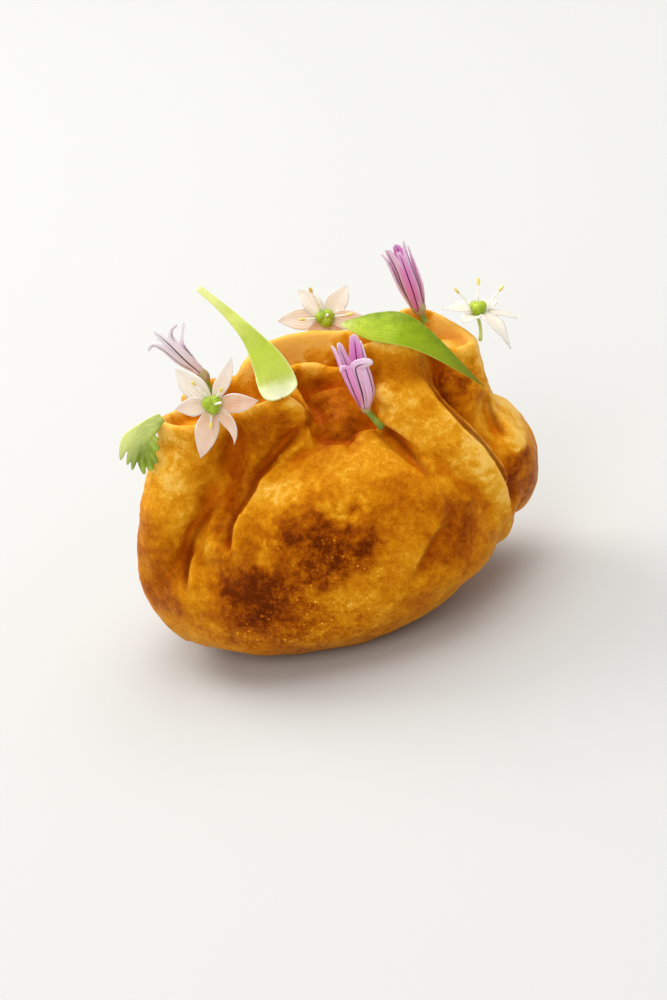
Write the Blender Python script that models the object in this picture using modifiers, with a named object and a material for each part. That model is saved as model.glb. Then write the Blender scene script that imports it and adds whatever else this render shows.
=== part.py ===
"""A bite-size empanada: a plump pastry purse with a gathered, wavy crest, garnished with flowers and leaves.

Metres, +Z up. The origin is the middle of the flat base, the length runs along X and the front faces -Y.
Sizes below are in millimetres, and MM turns them into metres.
"""

import math

import bmesh
import bpy
from mathutils import Matrix, Vector

MM = 0.001

# Purse: the filled belly. Above its widest level it rounds over, below it is fuller, down to a flat base.
LEFT_REACH = 30.0
RIGHT_REACH = 29.5
MIDDLE_X = -1.0
DEPTH = 41.0
WIDEST_Z = 12.5
SHOULDER_RISE = 14.0
SHOULDER_POWER = 2.0
BILGE_DROP = 13.6
BILGE_POWER = 2.4
STERN_LIFT = 3.5
STERN_SHORTENING = 0.55
# Bulges: middle, then reach across, deep, up and down, and how boxy it is. They are the front belly lobe,
# the back lobe, the dough between the two crest walls, and the right cheek
BULGES = (
    ((0.4, -6.0, 13.0), (22.6, 14.5, 18.3, 9.0), 2.4),
    ((0.0, 2.0, 13.5), (18.0, 18.0, 18.5, 9.0), 2.0),
    ((2.0, 4.6, 25.0), (15.0, 3.6, 9.5, 10.0), 2.0),
    ((24.4, 2.0, 17.5), (6.6, 9.0, 9.6, 9.5), 2.0),
)

# Crest: two walls of folded dough, front and back, thin at the rim and thicker at the foot. A foot lies under
# the rim line, drawn in towards the middle by FOOT_SPREAD across and deep
RIM_THICKNESS = 2.0
FOOT_THICKNESS = 7.0
FOOT_Z = 17.0
FOOT_SPREAD = (0.92, 0.6)
WALL_ROWS = 10
RIM_ROUND_STEPS = 4
RIM_LINE_STEPS = 5

# The rims of the two walls, from left to right round every gather: x, y, z
FRONT_RIM = (
    (-18.4, 2.6, 37.0),
    (-20.4, -0.6, 38.2),
    (-21.4, -3.8, 39.0),
    (-18.5, -6.6, 38.6),
    (-14.5, -7.2, 37.8),
    (-11.8, -5.0, 37.0),
    (-11.2, -1.5, 36.4),
    (-9.6, -5.0, 37.6),
    (-7.0, -8.0, 39.6),
    (-2.8, -8.8, 39.8),
    (0.4, -6.6, 37.2),
    (-2.0, -2.4, 38.8),
    (-1.6, 1.2, 40.2),
    (1.8, 2.2, 40.0),
    (5.6, 2.0, 38.4),
    (8.4, 0.2, 39.4),
    (9.0, -3.6, 42.0),
    (12.4, -5.8, 43.0),
    (16.4, -5.2, 41.8),
    (17.8, -1.6, 40.0),
    (19.6, -0.6, 38.4),
    (22.0, -1.8, 37.0),
    (24.6, -0.6, 36.8),
    (25.4, 2.4, 36.3),
)
BACK_RIM = (
    (-17.6, 2.8, 38.8),
    (-14.0, 5.6, 38.8),
    (-9.4, 4.6, 38.8),
    (-7.8, 4.0, 40.8),
    (-4.0, 6.6, 42.0),
    (2.0, 7.4, 41.6),
    (8.0, 6.8, 40.6),
    (13.0, 4.6, 40.6),
    (17.5, 7.2, 41.2),
    (21.5, 6.6, 39.6),
    (24.2, 5.0, 37.1),
    (25.4, 2.4, 36.3),
)

# Gathers that run down from the crest over the belly: (x, y, z, radius) from the crest to the foot
GATHERS = (
    (
        (-17.8, -2.0, 34.3, 5.0),
        (-20.0, -2.8, 29.5, 5.8),
        (-22.2, -3.8, 24.7, 6.1),
        (-26.3, -4.0, 16.6, 4.4),
        (-26.9, -3.5, 10.5, 3.4),
        (-25.2, -3.0, 6.0, 3.0),
    ),
    ((-4.8, -3.6, 33.0, 5.6), (-10.8, -4.2, 27.5, 5.8), (-15.5, -5.0, 22.0, 5.8)),
    ((-3.4, -8.6, 28.0, 4.6), (-6.6, -9.0, 24.5, 6.2), (-11.5, -8.6, 18.0, 7.0)),
    (
        (13.2, -2.0, 38.0, 4.2),
        (14.2, -6.4, 31.4, 4.8),
        (17.6, -9.0, 26.0, 4.7),
        (20.8, -9.0, 19.0, 4.5),
        (20.8, -7.6, 12.5, 4.0),
    ),
    ((2.9, 2.6, 33.2, 4.4), (3.1, -1.0, 29.6, 5.6), (3.2, -4.8, 25.8, 6.2)),
    ((14.5, 1.4, 34.6, 3.4), (18.6, 2.6, 34.2, 3.8), (22.4, 2.8, 32.8, 3.6)),
    ((21.6, 0.8, 33.5, 4.0), (21.8, -0.5, 27.0, 4.6), (23.0, -1.5, 18.0, 5.0)),
    ((-13.5, 2.6, 33.0, 4.8), (-18.5, 6.6, 25.5, 5.6), (-22.0, 8.0, 15.0, 5.2)),
    ((-4.5, 3.6, 33.5, 5.0), (-8.0, 9.0, 28.5, 5.6), (-12.5, 12.6, 20.0, 5.4), (-14.0, 12.6, 13.0, 4.6)),
    ((7.0, 3.2, 33.5, 5.0), (9.5, 8.6, 28.0, 5.6), (12.5, 11.6, 20.0, 5.4), (13.5, 12.0, 13.0, 4.6)),
    ((18.0, 3.4, 33.0, 4.8), (20.5, 6.4, 26.0, 5.4), (22.0, 7.6, 17.0, 5.2)),
)

# How high a gather's end is domed, as a share of its radius
DOME = 0.5

# The dough's shapes run together in a fine grid of this size, softened, then given this many triangles
ROUNDNESS = 6
VOXEL = 0.55
SMOOTHING_STEPS = 5
PASTRY_TRIANGLES = 5000

# Garnish: petals and leaves are thin solids, this many columns of faces wide
PETAL_THICKNESS = 0.4
LEAF_THICKNESS = 0.45
BLADE_COLUMNS = 2
# How wide a petal is from its foot to its tip, as shares of its full width
STAR_OUTLINE = (0.45, 0.92, 1.0, 0.72, 0.08)
FLORET_OUTLINE = (0.66, 0.98, 1.0, 0.70, 0.10)

# White star flowers: middle, the way they face, then the angle, length and forward rise of each petal
STAR_PETAL_WIDTH = 3.3
STAR_PETAL_ARCH = 0.10
STAR_MIDDLE_RADIUS = 1.0
PETAL_ROOT = 0.3
WHORL_STEP = 0.27
OVARY_RADIUS = 1.0
OVARY_LOBES = 3
OVARY_SPREAD = 0.75
STAMEN_RADIUS = 0.2
STAMEN_ROOT = 0.4
STAMEN_REACH = 0.62
STAMEN_RISE = 1.1
ANTHER = (0.42, 0.42, 0.71)
STARS = (
    (
        "star_flower_left",
        (-13.2, -9.5, 42.6),
        (-0.10, -0.93, 0.35),
        (
            (243, 8.0, 0.3), (299, 6.6, 1.4), (348, 6.4, 0.4),
            (50, 6.9, -0.6), (124, 7.2, -0.2), (172, 5.2, 0.6),
        ),
    ),
    (
        "star_flower_back",
        (5.5, 10.6, 42.1),
        (0.05, -0.86, 0.50),
        (
            (167, 6.9, 0.4), (116, 5.9, -0.4), (40, 5.9, -0.4),
            (342, 6.5, 0.4), (286, 4.6, -1.0), (226, 4.6, -1.0),
        ),
    ),
    (
        "star_flower_right",
        (27.3, 5.4, 38.9),
        (0.26, 0.06, 0.96),
        (
            (355, 5.8, -0.6), (52, 5.4, 0.6), (118, 5.4, 0.6),
            (178, 5.2, 0.6), (240, 5.2, 0.2), (305, 6.6, -3.6),
        ),
    ),
)
# Stalks of the star flowers, from behind the middle to where they end: (x, y, z)
STALK_RADIUS = 0.45
STALK_JOINT = 0.49
STAR_STALKS = (
    ((-13.1, -8.8, 42.4), (-12.8, -5.5, 40.6), (-12.8, -1.6, 36.6)),
    ((5.5, 10.8, 41.9), (5.4, 11.0, 39.0), (5.2, 9.9, 34.8)),
    ((27.2, 5.4, 38.2), (27.1, 4.8, 36.6), (26.6, 3.8, 35.2)),
)

# Purple florets: foot, the way they point, how far the tips stand out, length, and the end of the stalk
FLORET_PETALS = 6
FLORET_PETAL_WIDTH = 2.2
FLORET_PETAL_ARCH = 0.12
FLORET_FOOT = (1.4, 1.4, 2.6)
FLORET_FOOT_RISE = 1.4
FLORET_ROOT_RADIUS = 0.62
FLORET_BELLY = 1.2
FLORET_BELLY_PLACE = 1.2
# Each petal is turned and raised by this much more than the last, in radians and millimetres
FLORET_TWIST = 0.05
FLORETS = (
    ("floret_left", (-13.5, 1.0, 42.1), (-0.43, 0.10, 0.90), 2.6, 10.0, (-13.2, 0.4, 36.0)),
    ("floret_middle", (7.9, -8.5, 35.2), (-0.16, 0.20, 0.97), 1.5, 10.6, (9.3, -9.3, 31.4)),
    ("floret_right", (19.1, 5.0, 41.8), (-0.06, 0.02, 1.0), 1.1, 10.4, (19.4, 4.6, 39.8)),
)

# Leaves along their middle line: (x, y, z, width)
CRESS_LEAF = (
    (-11.0, 0.0, 56.5, 1.4),
    (-8.5, -2.0, 53.1, 2.2),
    (-6.2, -4.5, 49.1, 4.4),
    (-4.5, -7.0, 45.2, 6.4),
    (-3.7, -9.2, 43.0, 6.2),
    (-3.5, -10.0, 41.5, 3.0),
)
CRESS_FACING = (0.1, -0.9, 0.4)
LONG_LEAF = (
    (7.9, -3.6, 46.6, 1.2),
    (11.9, -5.6, 46.1, 4.2),
    (15.2, -7.0, 45.4, 4.8),
    (18.2, -7.4, 42.8, 3.6),
    (21.6, -7.6, 38.2, 1.7),
    (24.8, -6.6, 33.0, 0.5),
)
LONG_FACING = (0.22, -0.76, 0.6)
LEAF_ARCH = 0.16
LEAF_STEPS = 3
# The coriander leaf's stalk and the fingers that fan out from its hub: end, then widths from hub to end
HERB_HUB = (-24.2, -5.5, 38.8)
HERB_HUB_SIZE = (1.1, 1.1, 0.45)
HERB_FINGERS = (
    ((-20.9, -4.8, 41.4), (2.8, 2.0, 1.0)),
    ((-28.5, -5.0, 35.8), (2.6, 2.8, 0.5)),
    ((-27.2, -6.0, 34.3), (2.4, 2.2, 0.4)),
    ((-25.9, -7.0, 33.4), (2.0, 2.4, 0.4)),
    ((-23.6, -7.8, 35.0), (1.8, 2.4, 0.6)),
    ((-22.4, -7.8, 38.1), (1.4, 2.2, 0.6)),
)
HERB_FACING = (-0.3, -0.9, 0.3)

# Colours: linear red, green and blue, then roughness
CRUST = ((0.62, 0.27, 0.055), 0.5)
WHITE_PETAL = ((0.86, 0.82, 0.72), 0.5)
LILAC_PETAL = ((0.62, 0.27, 0.56), 0.5)
FRESH_LEAF = ((0.30, 0.50, 0.06), 0.4)
PALE_LEAF = ((0.52, 0.66, 0.16), 0.4)
HERB_LEAF = ((0.27, 0.46, 0.06), 0.4)

COLLECTION = "empanada"


def new_object(name, mesh, collection):
    made = bpy.data.objects.new(name, mesh)
    collection.objects.link(made)
    return made


def egg(bm, centre, radii, power=2.0):
    """A smooth ellipsoid with unlike reaches above and below its middle; a power over 2 makes it boxier."""
    across, deep, up, down = radii
    made = bmesh.ops.create_icosphere(bm, subdivisions=ROUNDNESS, radius=1.0)
    for vert in made["verts"]:
        x, y, z = vert.co / sum(abs(value) ** power for value in vert.co) ** (1 / power)
        vert.co = (Vector(centre) + Vector((x * across, y * deep, z * (up if z > 0 else down)))) * MM


def purse(bm):
    """The belly: a sphere drawn out to the purse's length, depth and two unlike halves."""
    made = bmesh.ops.create_icosphere(bm, subdivisions=ROUNDNESS, radius=1.0)
    for vert in made["verts"]:
        side = Vector((vert.co.x, vert.co.y))
        height = vert.co.z
        power = SHOULDER_POWER if height > 0 else BILGE_POWER
        reach = (1 - min(1.0, abs(height)) ** power) ** (1 / power)
        if side.length > 0:
            side.normalize()
        x = MIDDLE_X + (RIGHT_REACH if side.x > 0 else LEFT_REACH) * reach * side.x
        y = DEPTH / 2 * reach * side.y
        stern = max(0.0, side.x * reach) ** 2
        rise = SHOULDER_RISE if height > 0 else BILGE_DROP * (1 - STERN_SHORTENING * stern)
        vert.co = Vector((x, y, WIDEST_Z + height * rise + STERN_LIFT * stern)) * MM


def tube(bm, points):
    """A closed tube through (x, y, z, radius) points."""
    curve = bpy.data.curves.new("tube", "CURVE")
    curve.dimensions = "3D"
    curve.bevel_depth = MM
    curve.bevel_resolution = 14
    curve.resolution_u = 16
    curve.use_fill_caps = True
    spline = curve.splines.new("BEZIER")
    spline.bezier_points.add(len(points) - 1)
    for knot, (x, y, z, radius) in zip(spline.bezier_points, points):
        knot.co = (x * MM, y * MM, z * MM)
        knot.radius = radius
        knot.handle_left_type = knot.handle_right_type = "AUTO"
    holder = bpy.data.objects.new("tube", curve)
    bpy.context.scene.collection.objects.link(holder)
    bpy.context.view_layer.update()
    mesh = bpy.data.meshes.new_from_object(holder.evaluated_get(bpy.context.evaluated_depsgraph_get()))
    bpy.data.objects.remove(holder)
    bpy.data.curves.remove(curve)
    bm.from_mesh(mesh)
    bpy.data.meshes.remove(mesh)
    for end, dome in ((points[0], DOME), (points[-1], 1.0)):
        radius = end[3]
        egg(bm, end[:3], (radius, radius, radius * dome, radius))


def smooth_line(points, steps):
    """A Catmull-Rom line through the points."""
    ends = [points[0], *points, points[-1]]
    line = []
    for a, b, c, d in zip(ends, ends[1:], ends[2:], ends[3:]):
        for step in range(steps):
            t = step / steps
            bend = (2 * a - 5 * b + 4 * c - d) * t**2 + (3 * b - a - 3 * c + d) * t**3
            line.append(b + 0.5 * ((c - a) * t + bend))
    line.append(points[-1])
    return line


def crest_wall(bm, rim_points):
    """A wavy wall that follows its rim line, with a round rim and a thick foot."""
    rim = smooth_line([Vector(point) for point in rim_points], RIM_LINE_STEPS)
    section = []
    for row in range(WALL_ROWS):
        section.append((-1, 1 - row / WALL_ROWS))
    for step in range(1, RIM_ROUND_STEPS):
        turn = math.pi * step / RIM_ROUND_STEPS
        section.append((-math.cos(turn), -math.sin(turn)))
    for row in range(WALL_ROWS):
        section.append((1, row / WALL_ROWS))
    count = len(section)
    grid = bmesh.ops.create_grid(bm, x_segments=len(rim) - 1, y_segments=count, size=0.5)
    verts = grid["verts"]
    for vert in verts:
        along = round((vert.co.x + 0.5) * (len(rim) - 1))
        place = round((vert.co.y + 0.5) * count) % count
        top = rim[along]
        ahead = rim[min(along + 1, len(rim) - 1)] - rim[max(along - 1, 0)]
        out = Vector((ahead.y, -ahead.x, 0)).normalized()
        side, down = section[place]
        foot = Vector((top.x * FOOT_SPREAD[0], top.y * FOOT_SPREAD[1], FOOT_Z))
        if down < 0:
            centre = top + Vector((0, 0, -down * RIM_THICKNESS / 2))
            half = RIM_THICKNESS / 2
        else:
            centre = top.lerp(foot, down)
            half = RIM_THICKNESS / 2 + (FOOT_THICKNESS - RIM_THICKNESS) / 2 * down**2
        vert.co = (centre + out * half * side) * MM
    bmesh.ops.remove_doubles(bm, verts=verts, dist=0.00001)
    ends = [edge for edge in bm.edges if edge.is_boundary]
    bmesh.ops.holes_fill(bm, edges=ends)


def apply_modifiers(made):
    """Replaces the object's mesh by what its modifiers make of it."""
    bpy.context.view_layer.update()
    graph = bpy.context.evaluated_depsgraph_get()
    old = made.data
    mesh = bpy.data.meshes.new_from_object(made.evaluated_get(graph))
    made.modifiers.clear()
    made.data = mesh
    bpy.data.meshes.remove(old)


def flat_base(mesh):
    """Cuts off what lies below the table and closes the cut."""
    bm = bmesh.new()
    bm.from_mesh(mesh)
    everything = bm.verts[:] + bm.edges[:] + bm.faces[:]
    cut = bmesh.ops.bisect_plane(bm, geom=everything, plane_no=(0, 0, 1), clear_inner=True)
    rim = [piece for piece in cut["geom_cut"] if isinstance(piece, bmesh.types.BMEdge)]
    bmesh.ops.contextual_create(bm, geom=rim)
    bmesh.ops.triangulate(bm, faces=bm.faces[:])
    bm.to_mesh(mesh)
    bm.free()


def pastry(collection):
    """The dough: purse, bulges, gathers and crest walls fused into one body with soft folds."""
    bm = bmesh.new()
    crest_wall(bm, FRONT_RIM)
    crest_wall(bm, BACK_RIM)
    purse(bm)
    for centre, radii, power in BULGES:
        egg(bm, centre, radii, power)
    for points in GATHERS:
        tube(bm, points)
    mesh = bpy.data.meshes.new("pastry")
    bm.to_mesh(mesh)
    bm.free()
    body = new_object("pastry", mesh, collection)
    fuse_dough = body.modifiers.new("fuse_dough", "REMESH")
    fuse_dough.mode = "VOXEL"
    fuse_dough.voxel_size = VOXEL * MM
    soften = body.modifiers.new("soften", "SMOOTH")
    soften.factor = 0.5
    soften.iterations = SMOOTHING_STEPS
    apply_modifiers(body)
    fewer = body.modifiers.new("fewer_faces", "DECIMATE")
    fewer.ratio = PASTRY_TRIANGLES / sum(len(face.vertices) - 2 for face in body.data.polygons)
    apply_modifiers(body)
    flat_base(body.data)
    body.data.materials.append(surface("crust", CRUST))
    return body


def surface(name, finish):
    colour, roughness = finish
    made = bpy.data.materials.new(name)
    made.use_nodes = True
    shader = made.node_tree.nodes["Principled BSDF"]
    shader.inputs["Base Color"].default_value = (*colour, 1.0)
    shader.inputs["Roughness"].default_value = roughness
    shader.inputs["Metallic"].default_value = 0.0
    made.diffuse_color = (*colour, 1.0)
    return made


def shape(bm, verts, matrix):
    """Moves new vertices by a matrix in millimetres and turns them into metres."""
    bmesh.ops.transform(bm, matrix=Matrix.Scale(MM, 4) @ matrix, verts=verts)


def blade(line, facing, widths, arch, thickness):
    """A petal or leaf: a thin wavy solid along its middle line, its edges bent away from where it faces."""
    bm = bmesh.new()
    steps = len(line) - 1
    grid = bmesh.ops.create_grid(bm, x_segments=steps, y_segments=BLADE_COLUMNS, size=0.5)
    bmesh.ops.triangulate(bm, faces=bm.faces[:])
    for vert in grid["verts"]:
        along = round((vert.co.x + 0.5) * steps)
        ahead = line[min(along + 1, steps)] - line[max(along - 1, 0)]
        across = facing.cross(ahead).normalized()
        out = ahead.cross(across).normalized()
        side = vert.co.y * widths[along]
        vert.co = (line[along] + across * side + out * arch * 2 * abs(side)) * MM
    bm.normal_update()
    bmesh.ops.solidify(bm, geom=bm.faces[:], thickness=thickness * MM)
    bmesh.ops.recalc_face_normals(bm, faces=bm.faces[:])
    return bm


def rod(start, end, radius, sides=6):
    """A round stick between two points."""
    bm = bmesh.new()
    along = end - start
    made = bmesh.ops.create_cone(
        bm, cap_ends=True, segments=sides, radius1=radius, radius2=radius, depth=along.length
    )
    turn = along.to_track_quat("Z", "Y").to_matrix().to_4x4()
    shape(bm, made["verts"], Matrix.Translation((start + end) / 2) @ turn)
    return bm


def bead(centre, radii, axis, subdivisions=1):
    """An egg with its long way along an axis."""
    bm = bmesh.new()
    made = bmesh.ops.create_icosphere(bm, subdivisions=subdivisions, radius=1.0)
    turn = axis.to_track_quat("Z", "Y").to_matrix().to_4x4()
    shape(bm, made["verts"], Matrix.Translation(centre) @ turn @ Matrix.Diagonal((*radii, 1.0)))
    return bm


def join(name, pieces, material, collection):
    """One node from overlapping pieces, by a Boolean union."""
    extra = bpy.data.collections.new("pieces")
    bpy.context.scene.collection.children.link(extra)
    for piece in pieces:
        mesh = bpy.data.meshes.new(name)
        piece.to_mesh(mesh)
        piece.free()
        new_object(name, mesh, extra)
    body = extra.objects[0]
    extra.objects.unlink(body)
    collection.objects.link(body)
    if len(pieces) > 1:
        union = body.modifiers.new("union", "BOOLEAN")
        union.operation = "UNION"
        union.operand_type = "COLLECTION"
        union.collection = extra
        union.solver = "EXACT"
        apply_modifiers(body)
    for spare in list(extra.objects):
        bpy.data.objects.remove(spare)
    bpy.data.collections.remove(extra)
    body.name = name
    body.data.materials.clear()
    body.data.materials.append(material)
    return body


def stalk(points):
    """Short rods end to end, with a bead at each joint so that they fuse."""
    pieces = []
    line = [Vector(point) for point in points]
    for start, end in zip(line, line[1:]):
        pieces.append(rod(start, end, STALK_RADIUS))
        pieces.append(bead(end, (STALK_JOINT,) * 3, end - start))
    return pieces


def star_flower(name, middle, facing, petals, stalk_points, material, collection):
    """Six pointed petals round a three-lobed green ovary, with a stamen in front of each petal."""
    centre = Vector(middle)
    out = Vector(facing).normalized()
    right = (Vector((1, 0, 0)) - out * out.x).normalized()
    up = out.cross(right)
    pieces = [bead(centre, (STAR_MIDDLE_RADIUS,) * 3, out)]
    steps = len(STAR_OUTLINE) - 1
    for index, (angle, length, rise) in enumerate(petals):
        turn = math.radians(angle)
        away = right * math.cos(turn) + up * math.sin(turn)
        whorl = out * WHORL_STEP * (1 if index % 2 else -1)
        line = []
        for step in range(steps + 1):
            t = step / steps
            reach = PETAL_ROOT + (length - PETAL_ROOT) * t
            line.append(centre + whorl + away * reach + out * rise * t**2)
        widths = [STAR_PETAL_WIDTH * share for share in STAR_OUTLINE]
        pieces.append(blade(line, out, widths, STAR_PETAL_ARCH, PETAL_THICKNESS))
        stamen = away * STAMEN_REACH * length + out * (STAMEN_RISE + rise * STAMEN_REACH**2)
        pieces.append(rod(centre + out * STAMEN_ROOT, centre + stamen, STAMEN_RADIUS, 4))
        pieces.append(bead(centre + stamen, ANTHER, stamen))
    for lobe in range(OVARY_LOBES):
        turn = 2 * math.pi * lobe / OVARY_LOBES
        spot = centre + (out + right * math.cos(turn) + up * math.sin(turn)) * OVARY_SPREAD
        pieces.append(bead(spot, (OVARY_RADIUS,) * 3, out, 2))
    pieces.extend(stalk(stalk_points))
    return join(name, pieces, material, collection)


def floret(name, foot, pointing, spread, length, stalk_end, material, collection):
    """A narrow bell of six overlapping pointed petals on a short stalk."""
    base = Vector(foot)
    axis = Vector(pointing).normalized()
    right = (Vector((1, 0, 0)) - axis * axis.x).normalized()
    deep = axis.cross(right)
    pieces = [bead(base + axis * FLORET_FOOT_RISE, FLORET_FOOT, axis, 2)]
    steps = len(FLORET_OUTLINE) - 1
    for index in range(FLORET_PETALS):
        turn = 2 * math.pi * index / FLORET_PETALS + FLORET_TWIST * index
        away = right * math.cos(turn) + deep * math.sin(turn)
        whorl = WHORL_STEP * (1 if index % 2 else -1)
        line = []
        for step in range(steps + 1):
            t = step / steps
            belly = FLORET_BELLY * math.sin(math.pi * min(1, t * FLORET_BELLY_PLACE))
            stand = FLORET_ROOT_RADIUS + whorl + belly + spread * t**2
            line.append(base + away * stand + axis * (length * t + FLORET_TWIST * index))
        widths = [FLORET_PETAL_WIDTH * share for share in FLORET_OUTLINE]
        pieces.append(blade(line, away, widths, -FLORET_PETAL_ARCH, PETAL_THICKNESS))
    pieces.extend(stalk((base, Vector(stalk_end))))
    return join(name, pieces, material, collection)


def leaf(name, knots, facing, material, collection):
    """A leaf along its middle line, folded a little along its midrib."""
    line = smooth_line([Vector(knot) for knot in knots], LEAF_STEPS)
    widths = [point[3] for point in line]
    middle = [Vector(point[:3]) for point in line]
    piece = blade(middle, Vector(facing), widths, -LEAF_ARCH, LEAF_THICKNESS)
    return join(name, [piece], material, collection)


def herb_leaf(name, material, collection):
    """A lobed herb leaf: broad fingers that fan out from one hub, and a stalk."""
    pieces = []
    for end, widths in HERB_FINGERS:
        steps = len(widths) - 1
        line = [Vector(HERB_HUB).lerp(Vector(end), step / steps) for step in range(steps + 1)]
        pieces.append(blade(line, Vector(HERB_FACING), widths, LEAF_ARCH, LEAF_THICKNESS))
    pieces.append(bead(Vector(HERB_HUB), HERB_HUB_SIZE, Vector(HERB_FACING)))
    return join(name, pieces, material, collection)


def clear_scene():
    for old in list(bpy.data.objects):
        bpy.data.objects.remove(old)


def main():
    clear_scene()
    collection = bpy.data.collections.new(COLLECTION)
    bpy.context.scene.collection.children.link(collection)
    pastry(collection)
    white = surface("white_petal", WHITE_PETAL)
    for (name, middle, facing, petals), stalk_points in zip(STARS, STAR_STALKS):
        star_flower(name, middle, facing, petals, stalk_points, white, collection)
    lilac = surface("lilac_petal", LILAC_PETAL)
    for name, foot, pointing, spread, length, stalk_end in FLORETS:
        floret(name, foot, pointing, spread, length, stalk_end, lilac, collection)
    leaf("cress_leaf", CRESS_LEAF, CRESS_FACING, surface("pale_leaf", PALE_LEAF), collection)
    leaf("long_leaf", LONG_LEAF, LONG_FACING, surface("fresh_leaf", FRESH_LEAF), collection)
    herb_leaf("coriander_leaf", surface("herb_leaf", HERB_LEAF), collection)
    for made in collection.objects:
        made.data.shade_smooth()


main()
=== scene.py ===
"""The looks of the empanada: browned, blistered dough, thin petals and fresh leaves, on a pale floor."""

import math

import bmesh
import bpy
import numpy as np
from mathutils import Matrix, Vector
from mathutils.bvhtree import BVHTree
from mathutils.kdtree import KDTree


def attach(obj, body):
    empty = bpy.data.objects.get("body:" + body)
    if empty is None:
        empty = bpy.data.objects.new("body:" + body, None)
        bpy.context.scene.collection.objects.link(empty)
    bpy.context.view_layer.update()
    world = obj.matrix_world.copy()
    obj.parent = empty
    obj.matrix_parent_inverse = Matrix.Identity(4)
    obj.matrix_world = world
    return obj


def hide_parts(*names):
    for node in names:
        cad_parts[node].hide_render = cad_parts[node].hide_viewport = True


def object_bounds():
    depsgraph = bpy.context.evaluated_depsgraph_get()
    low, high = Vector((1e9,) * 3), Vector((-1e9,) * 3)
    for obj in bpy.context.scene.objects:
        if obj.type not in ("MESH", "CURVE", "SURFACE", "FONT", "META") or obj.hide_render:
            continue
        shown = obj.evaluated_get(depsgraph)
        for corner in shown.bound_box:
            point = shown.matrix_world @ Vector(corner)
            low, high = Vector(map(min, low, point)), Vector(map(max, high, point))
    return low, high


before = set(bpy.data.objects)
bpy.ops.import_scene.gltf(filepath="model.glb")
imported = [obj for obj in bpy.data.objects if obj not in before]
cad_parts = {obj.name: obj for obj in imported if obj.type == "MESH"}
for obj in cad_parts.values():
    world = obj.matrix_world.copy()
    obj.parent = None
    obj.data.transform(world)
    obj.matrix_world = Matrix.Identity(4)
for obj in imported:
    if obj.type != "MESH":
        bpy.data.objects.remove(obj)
CAD_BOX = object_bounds()

MM = 0.001

# Camera: it looks down on the front of the pastry and is rolled, so that the pastry leans in the picture
CAMERA_PLACE = (-0.231, -366.896, 205.055)
LOOK_DOWN = math.radians(27)
ROLL = math.radians(15)
LENS = 100.0
SENSOR_WIDTH = 36.0

# Purse, bulges, crest walls and gathers: the same named sizes as the solid pastry, in millimetres
LEFT_REACH = 30.0
RIGHT_REACH = 29.5
MIDDLE_X = -1.0
DEPTH = 41.0
WIDEST_Z = 12.5
SHOULDER_RISE = 14.0
SHOULDER_POWER = 2.0
BILGE_DROP = 13.6
BILGE_POWER = 2.4
STERN_LIFT = 3.5
STERN_SHORTENING = 0.55
BULGES = (
    ((0.4, -6.0, 13.0), (22.6, 14.5, 18.3, 9.0), 2.4),
    ((0.0, 2.0, 13.5), (18.0, 18.0, 18.5, 9.0), 2.0),
    ((2.0, 4.6, 25.0), (15.0, 3.6, 9.5, 10.0), 2.0),
    ((24.4, 2.0, 17.5), (6.6, 9.0, 9.6, 9.5), 2.0),
)
RIM_THICKNESS = 1.7
FOOT_THICKNESS = 7.0
FOOT_Z = 17.0
FOOT_SPREAD = (0.92, 0.6)
WALL_ROWS = 16
RIM_ROUND_STEPS = 6
RIM_LINE_STEPS = 8
FRONT_RIM = (
    (-18.4, 2.6, 37.0), (-20.4, -0.6, 38.2), (-21.4, -3.8, 39.0), (-18.5, -6.6, 38.6), (-14.5, -7.2, 37.8),
    (-11.8, -5.0, 37.0), (-11.2, -1.5, 36.4), (-9.6, -5.0, 37.6), (-7.0, -8.0, 39.6), (-2.8, -8.8, 39.8),
    (-0.9, -6.9, 36.3), (-2.0, -2.4, 38.8), (-1.6, 1.2, 39.4), (1.8, 2.2, 38.8), (5.6, 2.0, 37.2),
    (8.4, 0.2, 39.4), (9.0, -3.6, 42.0), (12.4, -5.8, 43.0), (16.4, -5.2, 41.8), (17.8, -1.6, 40.0),
    (19.6, -0.6, 38.4), (22.0, -1.8, 37.0), (24.6, -0.6, 36.8), (25.4, 2.4, 36.3),
)
BACK_RIM = (
    (-17.6, 2.8, 38.8), (-14.0, 5.6, 38.8), (-9.4, 4.6, 38.8), (-7.8, 4.0, 40.8), (-4.0, 6.6, 42.0),
    (2.0, 7.4, 41.6), (8.0, 6.8, 40.6), (13.0, 4.6, 40.6), (17.5, 7.2, 41.2), (21.5, 6.6, 39.6),
    (24.2, 5.0, 37.1), (25.4, 2.4, 36.3),
)
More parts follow.
